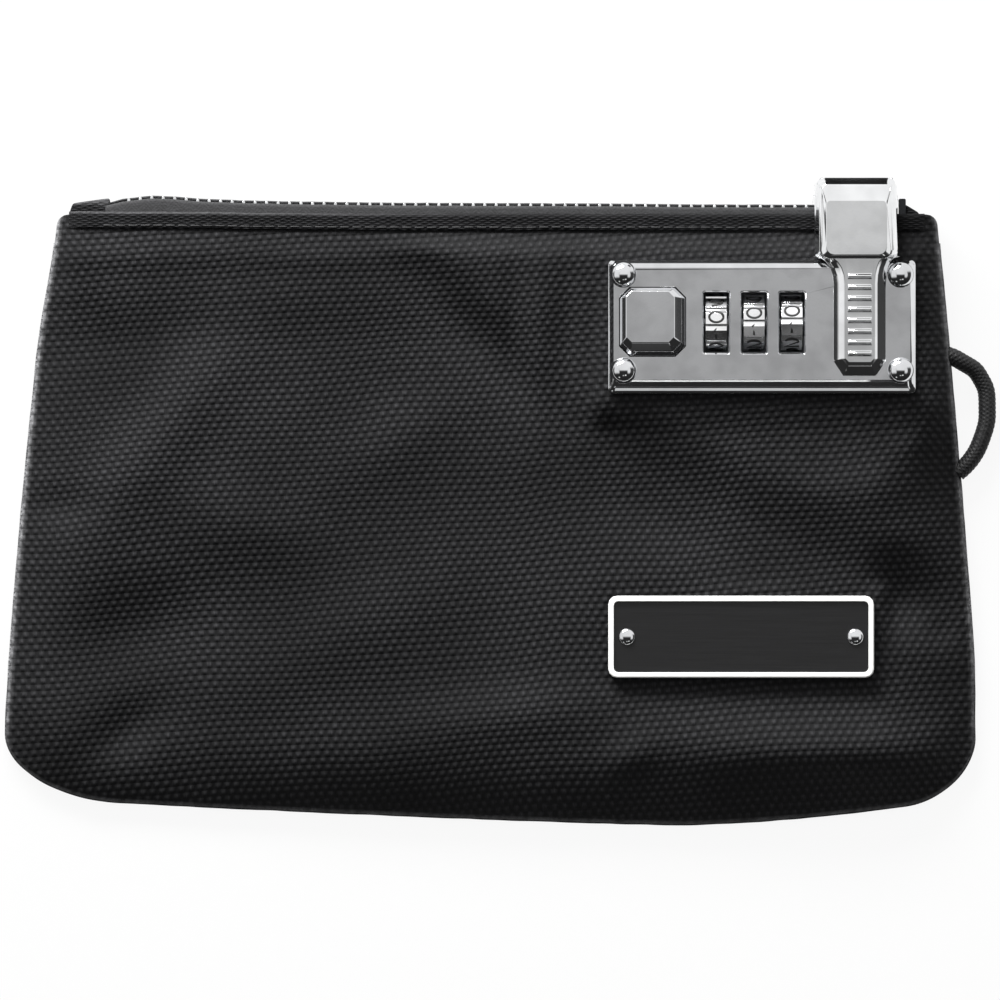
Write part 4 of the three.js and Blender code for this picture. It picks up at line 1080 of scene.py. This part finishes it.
# Lock plate: the bevel towards the mouth, and the first step along the lower edge
PLATE_FACE_Z = 15.3
PLATE_NORTH_Y = 116.6
PLATE_BEVEL = 0.75
PLATE_STEP_Z = (14.95, 15.15)
PLATE_SOUTH_Y = 93.7
PLATE_STEP = 0.1


def pull_shape(x, y, z):
    """The ribs get sloping sides, and the hood narrows and falls a little towards its end."""
    if z > RIB_TOP_Z and y < RIBS_END_Y:
        centre = RIB_Y + RIB_PITCH * round((y - RIB_Y) / RIB_PITCH)
        y = centre + (y - centre) * RIB_TOP_SHARE
    x = PULL_X + (x - PULL_X) * (1 - HOOD_NARROW * smooth(*HOOD_NARROW_Y, y))
    if z > HOOD_Z and y > HOOD_Y:
        z -= HOOD_FALL * (y - HOOD_Y)
    return x, y, z


def plate_shape(x, y, z):
    """A wider bevel towards the mouth, and a deeper first step along the lower edge."""
    if z > PLATE_FACE_Z and y > PLATE_NORTH_Y:
        y -= PLATE_BEVEL
    if PLATE_STEP_Z[0] < z < PLATE_STEP_Z[1] and y < PLATE_SOUTH_Y:
        z -= PLATE_STEP
    return x, y, z


dressed_copy("pull", "pull_polished", CHROME_PULL, 0.13, 3, 8, pull_shape, 0.03, False)
dressed_copy("lock_plate", "lock_plate_polished", CHROME, 0.1, 2, 20, plate_shape)
dressed_copy("button", "button_polished", CHROME, 0.15, 3, 8, None, 0.02, False)
dressed_copy("slider_body", "slider_body_cast", CAST_ZINC, 0.12)
for stop in ("zip_stop_left", "zip_stop_right"):
    dressed_copy(stop, stop + "_pressed", BLACK_STEEL, 0.3, 3)
dressed_copy("badge_plate", "badge_plate_brushed", BLACK_ALUMINIUM, 0.12)
dressed_copy("badge_border", "badge_border_enamelled", WHITE_ENAMEL, 0.12, 3)


def rivet(name, node_name, rise_mm):
    """Domed rivet: head, shank and the clenched tail behind, turned from one profile."""
    lo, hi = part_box(node_name)
    radius = (hi.x - lo.x) / 2
    shank, foot, lift, steps = radius * 0.36, radius * 0.96, 0.12, 12
    face = hi.z - rise_mm * MM
    profile = [(0.0, lo.z), (shank * 1.3, lo.z), (shank * 1.42, lo.z + 0.25 * MM),
               (shank * 1.4, lo.z + 0.5 * MM), (shank, lo.z + 0.55 * MM), (shank, face),
               (foot, face)]
    for i in range(steps + 1):
        a = math.pi / 2 * i / steps
        high = face + lift * MM + (rise_mm - lift) * MM * math.sin(a)
        profile.append((radius * math.cos(a), high))
    profile[-1] = (0.0, hi.z)
    made = turned(name, (lo + hi) / 2, profile)
    dress(made, CHROME, "pouch", (node_name,), 50)


for number in range(1, 5):
    rivet(f"lock_rivet_{number}", f"rivet_{number}", 2.2)
for number in range(1, 3):
    rivet(f"badge_rivet_head_{number}", f"badge_rivet_{number}", 0.95)


# Digits of the wheels, drawn as strokes in a box one wide and one high
def arc(cx, cy, rx, ry, start, end, steps=18):
    turns = [math.radians(mix(start, end, k / steps)) for k in range(steps + 1)]
    return [(cx + rx * math.cos(a), cy + ry * math.sin(a)) for a in turns]


def digit_strokes(digit):
    loop_low = arc(0, -0.2, 0.48, 0.3, 0, 360)
    loop_high = arc(0, 0.26, 0.4, 0.24, 0, 360)
    return {
        0: [arc(0, 0, 0.5, 0.5, 0, 360, 30)],
        1: [[(-0.14, 0.3), (0.0, 0.5), (0.0, -0.5)]],
        2: [arc(0, 0.22, 0.46, 0.28, 170, -40) + [(-0.48, -0.5), (0.5, -0.5)]],
        3: [arc(0, 0.25, 0.42, 0.25, 150, -90) + arc(0, -0.25, 0.48, 0.25, 90, -150)],
        4: [[(0.22, -0.5), (0.22, 0.5), (-0.5, -0.2), (0.5, -0.2)]],
        5: [[(0.44, 0.5), (-0.38, 0.5), (-0.42, 0.06)] + arc(0, -0.18, 0.48, 0.32, 130, -150)],
        6: [loop_low, [(0.32, 0.5)] + arc(0.1, -0.2, 0.58, 0.62, 112, 180)],
        7: [[(-0.5, 0.5), (0.5, 0.5), (-0.1, -0.5)]],
        8: [loop_low, loop_high],
        9: [arc(0, 0.2, 0.48, 0.3, 0, 360), [(-0.32, -0.5)] + arc(-0.1, 0.2, 0.58, 0.62, -68, 0)],
    }[digit]


def wheel_surface(turn):
    """Radius of a wheel's skin, at an angle from the middle of a digit towards the mouth."""
    if turn > FLAT_NORTH:
        return WHEEL_R - BEVEL_DEEP * clamp((turn - FLAT_NORTH) / (BEVEL_END - FLAT_NORTH))
    half = (FLAT_NORTH + FLAT_SOUTH) / 2
    return WHEEL_R * math.cos(math.radians(half)) / math.cos(math.radians(turn + FLAT_SOUTH - half))


def wheel_digits(number):
    """Ten painted digits round a wheel: strokes drawn flat, then laid round on its flats."""
    wide, tall, stroke, paint, flattened = 2.95, 2.25, 0.48, 0.03, 0.2
    data = bpy.data.curves.new(f"wheel_{number}_digits", "CURVE")
    data.dimensions = "3D"
    data.bevel_depth = stroke / 2 * MM
    data.bevel_resolution = 1
    data.use_fill_caps = True
    step = math.radians(DIGIT_STEP)
    turn = math.radians(WHEEL_TURN[number - 1])
    for digit in range(10):
        narrow = 0.9 if digit in (1, 7) else 1.0
        for stroke_line in digit_strokes(digit):
            spline = data.splines.new("POLY")
            spline.points.add(len(stroke_line) - 1)
            for point, (x, y) in zip(spline.points, stroke_line):
                along = (turn - step * digit) * WHEEL_R + y * tall
                point.co = (x * wide * narrow * MM, along * MM, 0, 1)
    select_only(add_object(data.name, data))
    bpy.ops.object.convert(target="MESH")
    made = bpy.context.active_object
    lo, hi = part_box(f"wheel_{number}")
    middle = pouch_mm((lo + hi) / 2)[0]
    for vertex in made.data.vertices:
        angle = vertex.co.y / MM / WHEEL_R
        offset = math.degrees(angle - turn)
        local = offset - DIGIT_STEP * round(offset / DIGIT_STEP)
        r = wheel_surface(local) + paint + vertex.co.z / MM * flattened
        y, z = WHEEL_Y + r * math.sin(angle), WHEEL_Z + r * math.cos(angle)
        vertex.co = spot(middle + vertex.co.x / MM, y, z)
    edit(made, MERGE, OUTWARD)
    dress(made, BLACK_INK, f"wheel_{number}")


for number in range(1, 4):
    dressed_copy(f"wheel_{number}", f"number_wheel_{number}", SATIN_CHROME, 0.06, 2, 12)
    wheel_digits(number)


def hidden_metal():
    """The pieces inside the lock keep their CAD shape."""
    steel = ("hinge_pin", "backing_plate", "axle", "gate_disc_1", "gate_disc_2", "gate_disc_3",
             "bolt_bar", "bolt_spring", "button_spring", "detent_spring")
    for name in (*steel, "lock_case"):
        held = frame["nodes"][name]
        held.data.materials.clear()
        held.data.materials.append(BRIGHT_STEEL if name in steel else CAST_ZINC)


hidden_metal()


# Floor, light and background, in metres
# Bands of the studio: levels of grey from south to north, or from low to high
SOUTH_TO_NORTH = ((0.0, 0.02), (0.45, 0.03), (0.488, 0.39), (0.505, 0.4), (0.53, 0.95), (1.0, 1.0))
STRIP_LIGHT = ((0.0, 0.0), (0.12, 0.0), (0.186, 0.08), (0.2, 0.75), (0.225, 0.6), (0.24, 0.0),
               (1.0, 0.0))
WEST_UP = ((0.0, 0.6), (0.03, 0.6), (0.06, 0.04), (0.24, 0.05), (0.32, 0.9), (0.8, 0.9), (0.9, 0.6))
EAST_UP = ((0.0, 0.6), (0.03, 0.6), (0.06, 0.05), (0.6, 0.06), (0.66, 0.9), (0.86, 0.9),
           (0.92, 0.6))
STRIP_HALF = (0.12, 0.06)
LEVEL_SIDES = (0.15, 0.45)
SIDE_FROM = (0.42, 0.52)
# Two small lamps: directions, and the angles of their edge and full light
SMALL_LAMPS = ((-0.45, -0.75, 0.48), (0.25, -0.55, 0.8))
SMALL_LAMP_ANGLES = (5.5, 4.0)


def floor():
    """Pale paper, nearly lit through for camera and mirrors, that keeps the pouch's shadow."""
    material, tree, place = new_material("studio_paper_white")
    ray = node(tree, "LightPath")
    fibres = grain(tree, place, 3.0)
    paper = ramp(tree, fibres, [(0.3, colour("#b4b4b4")), (0.7, colour("#b8b8b8"))])
    diffuse = node(tree, "BsdfDiffuse", Color=paper)
    glow = node(tree, "Emission", Color=(1, 1, 1, 1), Strength=1.05)
    seen = calc(tree, "ADD", ray.outputs["Is Camera Ray"], ray.outputs["Is Glossy Ray"])
    seen = calc(tree, "ADD", seen, ray.outputs["Is Transmission Ray"], True)
    share = calc(tree, "MULTIPLY", seen, 0.87)
    blend = node(tree, "MixShader", i0=share, i1=diffuse.outputs[0], i2=glow.outputs[0])
    finish(tree, blend)
    bpy.ops.mesh.primitive_plane_add(size=30, location=(0, 0, -0.0002))
    made = bpy.context.active_object
    made.name = "floor"
    made.data.materials.append(material)


def key_lamp():
    """A soft box close behind the mouth of the pouch, 26 degrees up and a little to the left."""
    data = bpy.data.lights.new("soft_box", "AREA")
    data.shape = "RECTANGLE"
    data.energy = 10.5
    data.size, data.size_y = 0.45, 0.17
    made = add_object("soft_box", data)
    made.location = (-0.2, 0.55, 0.28)
    made.rotation_mode = "QUATERNION"
    made.rotation_quaternion = (-made.location).to_track_quat("-Z", "Y")


def black_card():
    """A low black card behind the pouch, out of the picture, that only polished metal mirrors."""
    made = cube("black_card", size=(0.03, 0.002, 0.03), place=(0.0765, 0.118, 0.015), edge=0.0005)
    made.data.materials.append(BLACK_INK)
    for kind in ("camera", "diffuse", "shadow", "transmission"):
        setattr(made, "visible_" + kind, False)


def studio():
    """A tent lit from the mouth side: grey overhead, bright to the north, black to the south, with
    two small lamps. Level with the pouch, its east and west sides have bands of their own."""
    world = bpy.data.worlds.new("studio")
    bpy.context.scene.world = world
    world.use_nodes = True
    tree = world.node_tree
    tree.nodes.clear()
    direction = node(tree, "TexCoord").outputs["Generated"]
    east, north, up = node(tree, "SeparateXYZ", i0=direction).outputs[:3]
    share = affine(tree, north, 0.5, 0.5)
    bands = ((share, SOUTH_TO_NORTH), (share, STRIP_LIGHT), (up, WEST_UP), (up, EAST_UP))
    grey, strip, west_grey, east_grey = [
        ramp(tree, value, [(place, (level, level, level, 1)) for place, level in levels])
        for value, levels in bands]
    narrow = stepped(tree, calc(tree, "ABSOLUTE", east), *STRIP_HALF)
    grey = affine(tree, strip, narrow, grey)
    level_of_pouch = stepped(tree, calc(tree, "ABSOLUTE", north), *LEVEL_SIDES, 1.0, 0.0)
    begin, full = SIDE_FROM
    for side, side_grey in ((stepped(tree, east, -begin, -full), west_grey),
                            (stepped(tree, east, begin, full), east_grey)):
        side = calc(tree, "MULTIPLY", side, level_of_pouch)
        grey = node(tree, "MixRGB", i0=side, i1=grey, i2=side_grey).outputs[0]
    edge, full = [math.cos(math.radians(angle)) for angle in SMALL_LAMP_ANGLES]
    for lamp_direction in SMALL_LAMPS:
        toward = Vector(lamp_direction).normalized()
        facing = vector(tree, "DOT_PRODUCT", direction, i1=toward)["Value"]
        grey = calc(tree, "ADD", grey, stepped(tree, facing, edge, full))
    finish(tree, node(tree, "Background", Color=grey, Strength=1.0), "OutputWorld")
    bpy.context.scene.view_settings.view_transform = "Standard"


floor()
key_lamp()
black_card()
studio()
